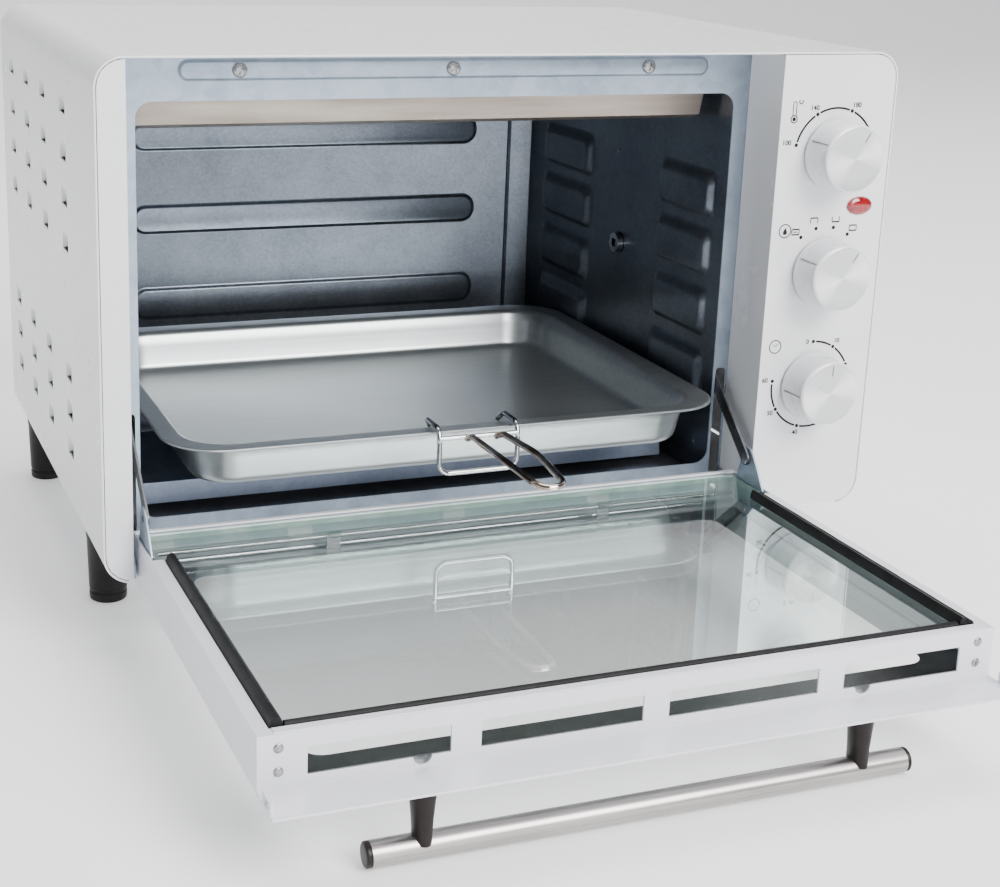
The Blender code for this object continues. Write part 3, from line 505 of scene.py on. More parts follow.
def tube_bm(pts, radius, seg=12, cyclic=False, caps=True, up=None):
    """A round tube along points, made with parallel frames; radius may vary."""
    bm = bmesh.new()
    n = len(pts)
    P = [Vector(p) for p in pts]
    rad = radius if isinstance(radius, (list, tuple)) else [radius] * n
    tang = []
    for i in range(n):
        a = P[(i - 1) % n] if (cyclic or i > 0) else P[i]
        b = P[(i + 1) % n] if (cyclic or i < n - 1) else P[i]
        tang.append((b - a).normalized())
    ref = Vector((0, 0, 1)) if abs(tang[0].z) < 0.9 else Vector((1, 0, 0))
    if up is not None:
        ref = Vector(up)
    normal = (ref - tang[0] * ref.dot(tang[0])).normalized()
    rings = []
    for i in range(n):
        normal = (normal - tang[i] * normal.dot(tang[i])).normalized()
        bi = tang[i].cross(normal)
        rings.append([bm.verts.new(P[i] + (normal * math.cos(2 * math.pi * k / seg) + bi * math.sin(2 * math.pi * k / seg)) * rad[i])
                      for k in range(seg)])
    m = n if cyclic else n - 1
    for i in range(m):
        a, b = rings[i], rings[(i + 1) % n]
        for k in range(seg):
            j = (k + 1) % seg
            bm.faces.new((a[k], a[j], b[j], b[k]))
    if caps and not cyclic:
        bm.faces.new(rings[0][::-1])
        bm.faces.new(rings[-1])
    return bm


def smooth_path(ctrl, per=8, cyclic=False):
    """Catmull-Rom points through the control points."""
    n = len(ctrl)
    C = [Vector(c) for c in ctrl]
    out = []
    segs = n if cyclic else n - 1
    for i in range(segs):
        p0 = C[(i - 1) % n] if (cyclic or i > 0) else C[i]
        p1, p2 = C[i], C[(i + 1) % n]
        p3 = C[(i + 2) % n] if (cyclic or i + 2 < n) else C[(i + 1) % n]
        for k in range(per):
            t = k / per
            out.append(0.5 * ((2 * p1) + (p2 - p0) * t + (2 * p0 - 5 * p1 + 4 * p2 - p3) * t * t
                              + (3 * p1 - p0 - 3 * p2 + p3) * t * t * t))
    if not cyclic:
        out.append(C[-1])
    return out


def loft_bm(sections, close_first=True, close_last=True):
    bm = bmesh.new()
    rings = [[bm.verts.new(p) for p in ring] for ring in sections]
    for a, b in zip(rings, rings[1:]):
        n = len(a)
        for i in range(n):
            j = (i + 1) % n
            bm.faces.new((a[i], a[j], b[j], b[i]))
    if close_first:
        bm.faces.new(rings[0][::-1])
    if close_last:
        bm.faces.new(rings[-1])
    return bm


def sweep_profile_bm(profile, stations):
    """Closed profile (a, b) placed at each station by a function, capped."""
    return loft_bm([[st(a, b) for a, b in profile] for st in stations])


def turned_bm(profile, seg=64):
    """Profile [(r, h)] turned about the h axis (local -Y), first and last on the axis or capped."""
    rings = []
    for r, h in profile:
        rings.append([(r * math.cos(2 * math.pi * k / seg), -h, r * math.sin(2 * math.pi * k / seg)) for k in range(seg)])
    return loft_bm(rings)


def thick_path(points, t):
    n = len(points)
    dirs = []
    for i in range(n - 1):
        dx, dy = points[i + 1][0] - points[i][0], points[i + 1][1] - points[i][1]
        ln = math.hypot(dx, dy)
        dirs.append((dx / ln, dy / ln))
    off = []
    for i in range(n):
        a, b = dirs[max(i - 1, 0)], dirs[min(i, n - 2)]
        nx, ny = -(a[1] + b[1]), (a[0] + b[0])
        ln = math.hypot(nx, ny)
        nx, ny = nx / ln, ny / ln
        k = t / max(0.2, (nx * -a[1] + ny * a[0]))
        off.append((points[i][0] + nx * k, points[i][1] + ny * k))
    return list(points) + off[::-1]


def round_path(points, radii, n=5):
    """A polyline whose inner corners are rounded."""
    out = [points[0]]
    for i in range(1, len(points) - 1):
        p, a, b = Vector(points[i]), Vector(points[i - 1]), Vector(points[i + 1])
        r = radii[i - 1] if isinstance(radii, (list, tuple)) else radii
        d1, d2 = (a - p), (b - p)
        k = min(r, d1.length * 0.49, d2.length * 0.49)
        s, e = p + d1.normalized() * k, p + d2.normalized() * k
        for j in range(n + 1):
            t = j / n
            q = s * (1 - t) ** 2 + p * 2 * t * (1 - t) + e * t * t
            out.append((q.x, q.y))
    out.append(points[-1])
    return out


def boolean_cut(ob, cutters, op="DIFFERENCE"):
    """Cut with bmesh solids in the same local frame as the object's mesh."""
    for cbm in cutters:
        bmesh.ops.recalc_face_normals(cbm, faces=cbm.faces)
        me = bpy.data.meshes.new("cutter")
        cbm.to_mesh(me)
        cbm.free()
        c = bpy.data.objects.new("cutter", me)
        c.matrix_world = ob.matrix_world.copy()
        bpy.context.scene.collection.objects.link(c)
        mod = ob.modifiers.new("cut", "BOOLEAN")
        mod.operation = op
        mod.solver = "EXACT"
        mod.object = c
        bpy.context.view_layer.update()
        out = bpy.data.meshes.new_from_object(ob.evaluated_get(bpy.context.evaluated_depsgraph_get()))
        ob.modifiers.clear()
        old = ob.data
        ob.data = out
        bpy.data.meshes.remove(old)
        bpy.data.objects.remove(c, do_unlink=True)
        bpy.data.meshes.remove(me)
    return ob


def boxes_bm(spans, m=None):
    bm = bmesh.new()
    for lo, hi in spans:
        v = [bm.verts.new((x, y, z)) for x in (lo[0], hi[0]) for y in (lo[1], hi[1]) for z in (lo[2], hi[2])]
        for f in ((0, 1, 3, 2), (4, 6, 7, 5), (0, 4, 5, 1), (2, 3, 7, 6), (0, 2, 6, 4), (1, 5, 7, 3)):
            bm.faces.new([v[i] for i in f])
    if m is not None:
        bm.transform(m)
    return bm


def resharpen(ob, angle=32.0):
    ob.data.shade_smooth()
    ob.data.set_sharp_from_angle(angle=math.radians(angle))


# ---------------------------------------------------------------- outer shell
def rounded_wrap(inset, n=12):
    hw = W / 2 - inset
    z0, z1, r = F + inset, F + H - inset, R_CORNER - inset
    return (arc(-hw + r, z0 + r, r, 262, 180, n) + arc(-hw + r, z1 - r, r, 180, 90, n)
            + arc(hw - r, z1 - r, r, 90, 0, n) + arc(hw - r, z0 + r, r, 0, -82, n))


outer_path, inner_path = rounded_wrap(0.0), rounded_wrap(1.2)
wrap = outer_path + inner_path[::-1]
shell = new_object("outer_shell_skin", loft_bm([[(x, 0.0, z) for x, z in wrap], [(x, D - 1.6, z) for x, z in wrap]]),
                   WHITE)
LOUVRE_Y = (293.0, 231.0, 167.0, 97.0)
LOUVRE_Z = (246.5, 220.0, 194.5, 168.5, 92.0, 69.0, 46.0)
holes = []
for ly in LOUVRE_Y:
    for lz in LOUVRE_Z:
        for s in (-1, 1):
            xs = sorted((s * (W / 2 + 3), s * (W / 2 - 3)))
            holes.append(((xs[0], ly - 9.0, F + lz - 3.4), (xs[1], ly + 9.0, F + lz + 6.6)))
for i in range(25):
    x = -201.6 + i * 15.2
    holes.append(((x - 2.9, 9.4, F + H - 4), (x + 2.9, 12.2, F + H + 3)))
boolean_cut(shell, [boxes_bm(holes, BODYM)])
resharpen(shell)
bevel(shell, 0.3, 2, 40)
stand_for(shell, "body", "white_enamel", "outer_shell")


def louvre_bm(s, y, z):
    """A pressed louvre: the sheet slopes in from the top and leaves a slot below."""
    bm = bmesh.new()
    x0, x1 = s * (W / 2), s * (W / 2 - 4.2)
    t = s * 1.0
    top, low = z + 6.7, z - 2.7
    n = 5
    outer, inner = [], []
    for i in range(n + 1):
        k = i / n
        e = k ** 0.85
        outer.append((x0 + (x1 - x0) * e, top + (low - top) * k))
    cols = []
    for dy in (-9.1, -8.5, -7.4, 0.0, 7.4, 8.5, 9.1):
        gain = {9.1: 0.0, 8.5: 0.6, 7.4: 1.0, 0.0: 1.0}[abs(dy)]
        col = []
        for x, zz in outer:
            col.append(bm.verts.new((x0 + (x - x0) * gain, y + dy, zz)))
        cols.append(col)
    back = []
    for dy, col in zip((-9.1, -8.5, -7.4, 0.0, 7.4, 8.5, 9.1), cols):
        back.append([bm.verts.new((v.co.x - t, v.co.y, v.co.z)) for v in col])
    m = len(cols)
    for i in range(m - 1):
        for j in range(n):
            bm.faces.new((cols[i][j], cols[i + 1][j], cols[i + 1][j + 1], cols[i][j + 1]))
            bm.faces.new((back[i][j], back[i][j + 1], back[i + 1][j + 1], back[i + 1][j]))
        bm.faces.new((cols[i][0], back[i][0], back[i + 1][0], cols[i + 1][0]))
        bm.faces.new((cols[i][n], cols[i + 1][n], back[i + 1][n], back[i][n]))
    for c, b in ((cols[0], back[0]), (cols[-1], back[-1])):
        for j in range(n):
            bm.faces.new((c[j], c[j + 1], b[j + 1], b[j]))
    bmesh.ops.recalc_face_normals(bm, faces=bm.faces)
    return bm


# dark steel fills just under the top seam slots: painted shade seen in the slots, not real tabs
slot_shade_fills = bmesh.new()
for i in range(25):
    x = -201.6 + i * 15.2
    join_bm(slot_shade_fills, boxes_bm([((x - 3.1, 9.2, F + H - 0.95), (x + 3.1, 12.4, F + H - 0.22))]))
ob = new_object("top_slot_painted_shade", slot_shade_fills, DARKSTEEL, BODYM, False)
stand_for(ob, "body", "dark_steel")
for s, label in ((-1, "left"), (1, "right")):
    bm = bmesh.new()
    for ly in LOUVRE_Y:
        for lz in LOUVRE_Z:
            join_bm(bm, louvre_bm(s, ly, F + lz))
    ob = new_object("louvre_pressings_" + label, bm, WHITE, BODYM, True, None, 50)
    stand_for(ob, "body", "white_enamel")

# -------------------------------------------------------- fronts, back, base
for n, m_, s_, w_ in (("left_trim", WHITE, "white_enamel", 0.5), ("back_panel", WHITE, "white_enamel", 0.35),
                      ("base_plate", WHITE, "white_enamel", 0.3), ("control_panel", WHITE, "white_enamel", 0.5)):
    refine(n, "body", m_, s_, w_, 3)

k_ = 0
for x, z in ((-224, 20), (-224, 142), (-224, 262), (0, 272), (0, 12), (224, 20), (224, 262), (-110, 12), (110, 272)):
    k_ += 1
    prof_ = [(0.02, -1.0), (1.6, -1.0), (1.6, 0.0), (4.2, 0.0), (4.4, 0.3), (4.1, 1.1), (3.0, 1.75), (1.4, 2.05), (0.02, 2.1)]
    b_ = turned_bm(prof_, 28)
    b_.transform(Matrix.Translation((x, D, F + z)) @ Matrix.Rotation(math.pi, 4, "Z"))
    so = new_object("back_screw_%d" % k_, b_, STEEL, BODYM, True, None, 40)
    cc = []
    for sp in (((-2.6, 0.9, -0.5), (2.6, 3.4, 0.5)), ((-0.5, 0.9, -2.6), (0.5, 3.4, 2.6))):
        c_ = boxes_bm([sp])
        c_.transform(Matrix.Translation((x, D, F + z)) @ Matrix.Rotation(0.5 + k_, 4, "Y"))
        c_.transform(BODYM)
        cc.append(c_)
    boolean_cut(so, cc)
    resharpen(so, 40)
    stand_for(so, "body", "chrome")
stiff = bmesh.new()
for z0, z1 in ((40, 70), (110, 140), (180, 210)):
    secs_ = []
    for k in range(7):
        t_ = k / 6.0
        i_ = 4.0 * t_
        rise = 1.4 * (0.5 - 0.5 * math.cos(math.pi * t_))
        secs_.append([(x, D + rise, z) for x, z in rrect(-190 + i_, F + z0 + i_, 160 - i_, F + z1 - i_, 12 - i_, 10)])
    pp = loft_bm([[(x, D - 0.8, z) for x, z in rrect(-190, F + z0, 160, F + z1, 12, 10)]] + secs_)
    bmesh.ops.recalc_face_normals(pp, faces=pp.faces)
    join_bm(stiff, pp)
so = new_object("back_panel_ribs", stiff, WHITE, BODYM, True, None, 60)
stand_for(so, "body", "white_enamel")

# ----------------------------------------------------- galvanised front frame
stad_o = rrect(-188.6, F + 266.3, 131.7, F + 278.4, 6.0, 10)
frame_outline = rrect4(-W / 2 + 1.8, F + 1.8, 192.0, F + H - 1.8, (0, 14.0, 14.0, 0), 10)
opening = rrect(OPEN_X0, OPEN_Z0, OPEN_X1, OPEN_Z1, 9.0, 10)
slot_r = rrect(153.0, F + 8, 159.6, F + 84, 2.0, 4)
slot_l = rrect(-222.0, F + 8, -214.0, F + 84, 2.0, 4)
ff = plate("front_frame_sheet", [frame_outline, opening, slot_r, slot_l, stad_o], "XZ", Y_FRAME, Y_FRAME + 1.0,
           GALV, edge=0.3)
stand_for(ff, "body", "galvanised", "front_frame")


def stadium_emboss(name, x0, z0, x1, z1, r, y, h, mat, slot, flip=-1.0, plane_y=True, wid=2.2):
    """A raised stadium with a rounded slope, standing out of a sheet facing -Y."""
    secs = []
    for k in range(7):
        t = k / 6.0
        ins = wid * t
        rise = h * (0.5 - 0.5 * math.cos(math.pi * t))
        secs.append([(x, y + flip * rise, z) for x, z in rrect(x0 + ins, z0 + ins, x1 - ins, z1 - ins, max(0.6, r - ins), 10)])
    base = [(x, y + 0.8, z) for x, z in rrect(x0, z0, x1, z1, r, 10)]
    ob = new_object(name, loft_bm([base] + secs), mat, BODYM, True, None, 60)
    return stand_for(ob, "body", slot)


stadium_emboss("front_frame_emboss", -188.6, F + 266.3, 131.7, F + 278.4, 6.0, Y_FRAME, 1.5, GALV, "galvanised")


def pan_screw(name, x, y, z, r=3.9, h=1.9, mat=CHROME, slot="chrome", body="body", node=None, turn=0.3, m=None, axis="Y"):
    prof = [(0.01, -2.0), (r * 0.45, -2.0), (r * 0.45, 0.0), (r, 0.0), (r, h * 0.35)]
    for k in range(1, 7):
        a = math.pi / 2 * k / 6
        prof.append((r * math.cos(a) if k < 6 else 0.02, h * 0.35 + h * 0.65 * math.sin(a)))
    bm = turned_bm(prof, 28)
    bm.transform(Matrix.Translation((x, y, z)))
    ob = new_object(name, bm, mat, BODYM if m is None else m, True, None, 40)
    c, s = math.cos(turn), math.sin(turn)
    spans = [((-r * 0.55, -h - 1, -0.45), (r * 0.55, -h + 1.1, 0.45)), ((-0.45, -h - 1, -r * 0.55), (0.45, -h + 1.1, r * 0.55))]
    cuts = []
    for sp in spans:
        b = boxes_bm([sp])
        b.transform(Matrix.Translation((x, y, z)) @ Matrix.Rotation(turn, 4, "Y"))
        b.transform(BODYM if m is None else m)
        cuts.append(b)
    boolean_cut(ob, cuts)
    resharpen(ob, 40)
    if node:
        stand_for(ob, body, slot, node)
    else:
        stand_for(ob, body, slot)
    return ob


for i, x in enumerate((-155.0, -31.9, 91.1)):
    pan_screw("frame_pan_screw_%d" % (i + 1), x, Y_FRAME - 1.5, F + 272.4, 4.1, 2.4, STEEL, "chrome", "body",
              "frame_screw_%d" % (i + 1), 0.4 + i * 0.7)

# --------------------------------------------------------------------- cavity
def wall_x(s, y):
    f = (y - Y_FRAME) / (Y_CHAMFER - Y_FRAME)
    return (CAV_XF1 + f * (CAV_XR1 - CAV_XF1)) if s > 0 else (CAV_XF0 + f * (CAV_XR0 - CAV_XF0))


SOCKET_Y, SOCKET_Z = 172.0, F + 138.0


def side_wall(s):
    """Cavity side: a flat sheet with two columns of large pressed rack supports."""
    node = "cavity_%s_wall" % ("left" if s < 0 else "right")
    outlines = [[(Y_FRAME + 1.4, CZ0), (Y_CHAMFER, CZ0), (Y_CHAMFER, CZ1), (Y_FRAME + 1.4, CZ1)]]
    if s > 0:
        outlines.append(circle(SOCKET_Y, SOCKET_Z, 7.2, 32))
    bm_ = plate_bm(outlines, "YZ", 0.0, 0.8)
    for v in bm_.verts:
        v.co.x = wall_x(s, v.co.y) + s * v.co.x
    if s < 0:
        bmesh.ops.reverse_faces(bm_, faces=bm_.faces)
    for ya, yb in ((52.0, 122.0), (215.0, 293.0)):
        for top, low in ((206.0, 175.0), (170.0, 138.0), (132.0, 100.0), (93.0, 61.0)):
            rings = []
            for k in range(9):
                t = k / 8.0
                rise = 3.98 * (0.5 - 0.5 * math.cos(math.pi * t))
                iy, it, il = 7.0 * t, 8.5 * t, 5.0 * t
                r_ = 7.0 - 3.0 * t
                ring = []
                for yy, zz in rrect(ya + iy, F + low + il, yb - iy, F + top - it, r_, 6):
                    ring.append((wall_x(s, yy) - s * (rise + 0.02), yy, zz))
                rings.append(ring)
            base = [(wall_x(s, yy) + s * 0.5, yy, zz) for yy, zz in rrect(ya, F + low, yb, F + top, 7.0, 6)]
            p = loft_bm([base] + rings)
            bmesh.ops.recalc_face_normals(p, faces=p.faces)
            join_bm(bm_, p)
    ob_ = new_object(node + "_pressing", bm_, CAVITY, BODYM, True, None, 40)
    stand_for(ob_, "body", "aluminised", node)


side_wall(-1)
side_wall(1)
for n in ("cavity_back_wall", "cavity_roof"):
    refine(n, "body", CAVITY, "aluminised", 0.3, 2)
refine("cavity_floor", "body", FLOORM, "aluminised", 0.3, 2)
for i, (z0, z1) in enumerate(((184, 206), (125, 147), (63, 87))):
    stadium_emboss("back_wall_rib_%d" % (i + 1), -157, F + z0, 104, F + z1, 10.5, Y_CAV - 0.1, 1.7, CAVITY, "aluminised",
                   -1.0, True, 3.4)
# corner joint strips and spot welds
for s, x in ((-1, CAV_XR0 + 15.5), (1, CAV_XR1 - 15.5)):
    bm = loft_bm([[(x - 1.6, Y_CAV, z), (x - 1.0, Y_CAV - 0.9, z), (x + 1.0, Y_CAV - 0.9, z), (x + 1.6, Y_CAV, z)]
                  for z in (CZ0 + 1, CZ1 - 1)])
    ob = new_object("back_corner_fold_%s" % ("left" if s < 0 else "right"), bm, CAVITY, BODYM, True, None, 50)
    stand_for(ob, "body", "aluminised")


dots = bmesh.new()
for s in (-1, 1):
    for y, z in ((58, 30), (58, 110), (58, 180), (180, 60), (180, 200), (300, 40), (300, 215), (200, 230)):
        x = wall_x(s, y) - s * 0.1
        d = turned_bm([(2.0, -0.2), (2.0, 0.15), (1.5, 0.55), (0.05, 0.7)], 16)
        d.transform(Matrix.Translation((x, y, F + z)) @ Matrix.Rotation(-s * math.pi / 2, 4, "Z"))
        join_bm(dots, d)
ob = new_object("cavity_rivet_heads", dots, STEEL)
stand_for(ob, "body", "aluminised")

# --------------------------------------------------------------------- guards
refine("upper_heater_guard", "body", GUARD, "guard", 0.35, 2, 12)
refine("lower_heater_guard", "body", GUARD_LOW, "guard", 0.35, 2, 12)
for n, y, z in (("heater_upper_front", 84.0, F + 239.0), ("heater_upper_rear", 268.0, F + 240.0),
                ("heater_lower_front", 104.0, F + 24.0), ("heater_lower_rear", 268.0, F + 26.0)):
    x0, x1 = wall_x(-1, y) + 0.8, wall_x(1, y) - 0.8
    prof = [(x0, 3.0), (x0 + 0.4, 3.4), (x0 + 9, 3.4), (x0 + 9.4, 3.25), (x1 - 9.4, 3.25), (x1 - 9, 3.4), (x1 - 0.4, 3.4), (x1, 3.0)]
    ob = new_object(n + "_sheath", tube_bm([(x, y, z) for x, _ in prof], [r for _, r in prof], 20), ELEMENT)
    stand_for(ob, "body", "element", n)

for n, w_ in (("rotisserie_motor", 0.0), ("thermostat", 0.8), ("function_switch", 0.8), ("timer_unit", 0.8)):
    keep(n, DARKSTEEL) if not w_ else refine(n, "body", DARKSTEEL, "dark_steel", w_, 2)
refine("drive_socket", "spit_drive", CHROME, "chrome", 0.3, 2)
refine("spit_bracket", "body", CHROME, "chrome", 0.3, 2)
for n in ("hinge_bracket_left", "hinge_bracket_right"):
    refine(n, "body", GALV, "galvanised", 0.2, 2)
refine("cord_gland", "body", BLACK, "black_plastic", 0.4, 2)
for n in ("door_spring_left", "door_spring_right"):
    keep(n, STEEL)
for n in ("temperature_shaft", "function_shaft", "timer_shaft"):
    keep(n, STEEL)
keep("hinge_rod", CHROME)

# ----------------------------------------------------------------------- feet
for n, x, y in (("foot_front_left", -221, 92), ("foot_front_right", 221, 92), ("foot_rear_left", -221, 321),
                ("foot_rear_right", 221, 321)):
    prof = [(0.02, 45.7), (12.5, 45.7), (12.5, 43.2), (12.1, 42.7), (12.05, 40.4), (12.4, 39.9)]
    prof = [(0.02, 0.35), (7.8, 0.35), (8.2, 0.0), (9.9, 0.0), (10.8, 0.6), (11.15, 1.8), (11.2, 5.0), (10.7, 5.6), (10.7, 6.8),
            (11.25, 7.4), (12.1, 39.0), (12.5, 40.4), (12.5, 44.9), (12.1, 45.7), (0.02, 45.7)]
    seg = 48
    bm = loft_bm([[(x + r * math.cos(2 * math.pi * k / seg), y + r * math.sin(2 * math.pi * k / seg), h) for k in range(seg)]
                  for r, h in prof])
    ob = new_object(n + "_moulding", bm, BLACK, BODYM, True, None, 30)
    stand_for(ob, "body", "black_plastic", n)

# ----------------------------------------------------------- control dials
POINT = {"temperature": 30.0, "function": 32.0, "timer": 2.0}


def knob_bm(n=72):
    r0, r1 = 21.4, 20.2
    prof = [(4.2, 0.9), (19.8, 0.9), (20.8, 1.3), (21.1, 2.0), (21.1, 3.0), (20.9, 3.6), (20.7, 4.2)]
    prof += [(20.7 + (r1 - 20.7) * t / 6, 4.2 + 16.6 * t / 6) for t in range(1, 7)]
    prof += [(20.0, 21.6), (19.55, 22.2), (18.9, 22.55)]
    return turned_bm(prof, n), prof


for label, x, z in KNOBS:
    body = label + "_control"
    org = Vector((x * 0.001, -Y_MID * 0.001, z * 0.001))
    bm, _ = knob_bm()
    bm.transform(Matrix.Translation((x, 0, z)))
    side = new_object(label + "_dial_side", bm, KNOBM, BODYM, True, org, 30)
    stand_for(side, body, "knob_white", label + "_knob")
    face = turned_bm([(18.9, 22.3), (18.95, 22.62), (18.6, 22.8), (18.2, 22.72), (12.0, 22.66), (6.0, 22.64), (0.05, 22.62)], 72)
    face.transform(Matrix.Translation((x, 0, z)))
    fo = new_object(label + "_dial_face", face, FACE, BODYM, True, org, 30)
    stand_for(fo, body, "knob_white")
    a = math.radians(90.0 - POINT[label])
    ux, uz = math.cos(a), math.sin(a)
    px, pz = -uz, ux
    bm = bmesh.new()
    quad = []
    for d, w in ((11.2, 0.34), (17.6, 0.34)):
        for sgn in (-1, 1):
            quad.append((x + ux * d + px * w * sgn, z + uz * d + pz * w * sgn))
    q = [quad[0], quad[1], quad[3], quad[2]]
    join_bm(bm, loft_bm([[(a_, -22.4, b_) for a_, b_ in q], [(a_, -22.82, b_) for a_, b_ in q]]))
    # the pointer's groove down the side
    for sgn_a in (0.0,):
        ca, sa = math.cos(a + math.radians(95)), math.sin(a + math.radians(95))
        tx, tz = -sa, ca
        ring = []
        for h, r in ((4.6, 21.32), (20.6, 20.3)):
            for w in (-0.3, 0.3):
                ring.append((x + ca * (r + 0.04) + tx * w, -h, z + sa * (r + 0.04) + tz * w))
        top = [ring[0], ring[1], ring[3], ring[2]]
        low = [(vx - ca * 0.5, vy, vz - sa * 0.5) for vx, vy, vz in top]
        join_bm(bm, loft_bm([low, top]))
    po = new_object(label + "_dial_pointer", bm, INK_RED, BODYM, False, org)
    stand_for(po, body, "knob_white")

# print on the panel: arcs, dots, plain numbers and small signs
ink = bmesh.new()
Y_INK0, Y_INK1 = 0.34, 0.18


def ink_arc(cx, cz, r, a0, a1, w=0.62):
    """Clock angles in degrees, clockwise from the top."""
    n = max(4, int(abs(a1 - a0) / 4))
    out, inn = [], []
    for i in range(n + 1):
        a = math.radians(90 - (a0 + (a1 - a0) * i / n))
        out.append((cx + (r + w) * math.cos(a), cz + (r + w) * math.sin(a)))
        inn.append((cx + (r - w) * math.cos(a), cz + (r - w) * math.sin(a)))
    poly = out + inn[::-1]
    join_bm(ink, loft_bm([[(a, Y_INK0, b) for a, b in poly], [(a, Y_INK1, b) for a, b in poly]]))


def ink_dot(cx, cz, r=1.15):
    poly = circle(cx, cz, r, 20)
    join_bm(ink, loft_bm([[(a, Y_INK0, b) for a, b in poly], [(a, Y_INK1, b) for a, b in poly]]))


def ink_line(x0, z0, x1, z1, w=0.25):
    dx, dz = x1 - x0, z1 - z0
    ln = math.hypot(dx, dz)
    nx, nz = -dz / ln * w, dx / ln * w
    poly = [(x0 + nx, z0 + nz), (x1 + nx, z1 + nz), (x1 - nx, z1 - nz), (x0 - nx, z0 - nz)]
    join_bm(ink, loft_bm([[(a, Y_INK0, b) for a, b in poly], [(a, Y_INK1, b) for a, b in poly]]))


def ink_number(text, x, z, size=3.4):
    cu = bpy.data.curves.new("digits", "FONT")
    cu.body = text
    cu.size = size
    cu.align_x = "CENTER"
    cu.align_y = "CENTER"
    cu.extrude = 0.08
    cu.offset = 0.09
    ob = bpy.data.objects.new("digits", cu)
    bpy.context.scene.collection.objects.link(ob)
    bpy.context.view_layer.update()
    me = bpy.data.meshes.new_from_object(ob.evaluated_get(bpy.context.evaluated_depsgraph_get()))
    b = bmesh.new()
    b.from_mesh(me)
    bpy.data.objects.remove(ob, do_unlink=True)
    bpy.data.meshes.remove(me)
    bpy.data.curves.remove(cu)
    b.transform(Matrix.Translation((x, 0.26, z)) @ Matrix.Rotation(math.radians(90), 4, "X"))
    join_bm(ink, b)


def clock(cx, cz, r, a):
    a = math.radians(90 - a)
    return cx + r * math.cos(a), cz + r * math.sin(a)


(tn, tx_, tz_), (fn, fx_, fz_), (mn, mx_, mz_) = KNOBS
R_ARC = 27.2
marks = {"100": -78.0, "140": -30.0, "180": 22.0}
ink_arc(tx_, tz_, R_ARC, -74, -34)
ink_arc(tx_, tz_, R_ARC, -26, 18)
ink_arc(tx_, tz_, R_ARC, 26, 58)
for txt, a in (("100", -78.0), ("140", -30.0), ("180", 22.0), ("220", 62.0)):
    ink_dot(*clock(tx_, tz_, R_ARC, a))
    if txt != "220":
        ink_number(txt, *clock(tx_, tz_, R_ARC + (6.8 if txt == "100" else 4.4), a + (0 if txt != "180" else 3)), 4.1)
for a in (-38.0, -14.0, 12.0, 36.0):
    ink_dot(*clock(fx_, fz_, R_ARC, a), 1.15)
for k, a in enumerate((-40.0, -15.0, 12.0, 37.0)):
    ix, iz = clock(fx_, fz_, R_ARC + 5.2, a)
    w, h = 2.5, 1.6
    ink_line(ix - w, iz - h, ix - w, iz + h, 0.26)
    ink_line(ix + w, iz - h, ix + w, iz + h, 0.26)
    if k in (0, 1, 3):
        ink_line(ix - w, iz + h, ix + w, iz + h, 0.42)
    if k in (0, 2, 3):
        ink_line(ix - w, iz - h, ix + w, iz - h, 0.42)
    if k == 0:
        ink_line(ix - 1.4, iz, ix + 1.4, iz, 0.26)
ink_arc(mx_, mz_, R_ARC, 4, 28)
ink_arc(mx_, mz_, R_ARC, 36, 62)
ink_arc(mx_, mz_, R_ARC, 70, 100)
ink_arc(mx_, mz_, R_ARC, 108, 146)
ink_arc(mx_, mz_, R_ARC, 154, 190)
ink_arc(mx_, mz_, R_ARC, 198, 234)
ink_arc(mx_, mz_, R_ARC, 242, 274)
for txt, a in (("0", 0.0), ("10", 32.0), ("20", 66.0), ("", 104.0), ("30", 150.0), ("40", 194.0), ("50", 238.0), ("60", 278.0)):
    ink_dot(*clock(mx_, mz_, R_ARC, a), 1.15)
    if txt in ("0",):
        dx, dz = clock(mx_, mz_, R_ARC, a)
        ink_number(txt, dx - 4.2, dz, 4.0)
    elif txt in ("10", "40", "50", "60"):
        off = 5.4 if txt == "60" else 4.4
        ink_number(txt, *clock(mx_, mz_, R_ARC + off, a), 4.0)
# small signs left of each dial: a thermometer, a flame in a ring, a clock
sx, sz = 170.0, F + 249.0
ink_arc(sx, sz - 4.0, 2.1, 0, 360, 0.32)
ink_dot(sx, sz - 4.0, 1.2)
ink_line(sx - 1.1, sz - 2.2, sx - 1.1, sz + 5.2, 0.26)
ink_line(sx + 1.1, sz - 2.2, sx + 1.1, sz + 5.2, 0.26)
ink_arc(sx, sz + 5.2, 1.1, -90, 90, 0.26)
ink_arc(sx + 4.0, sz + 6.2, 1.2, 40, 320, 0.32)
sx, sz = 170.4, F + 178.2
ink_arc(sx, sz, 4.0, 0, 360, 0.32)
flame = [(sx - 1.2, sz - 2.2), (sx + 1.2, sz - 2.2), (sx + 1.5, sz - 0.6), (sx + 0.7, sz + 0.8), (sx + 0.5, sz + 2.4),
         (sx - 0.5, sz + 1.0), (sx - 1.3, sz - 0.4)]
join_bm(ink, loft_bm([[(a, Y_INK0, b) for a, b in flame], [(a, Y_INK1, b) for a, b in flame]]))
sx, sz = 170.6, F + 106.6
ink_arc(sx, sz, 4.0, 0, 360, 0.32)
ink_line(sx, sz, sx - 1.7, sz + 1.5, 0.18)
ink_line(sx, sz, sx + 2.2, sz + 2.0, 0.18)
ob = new_object("panel_print", ink, INK, BODYM, False)
stand_for(ob, "body", "black_plastic")

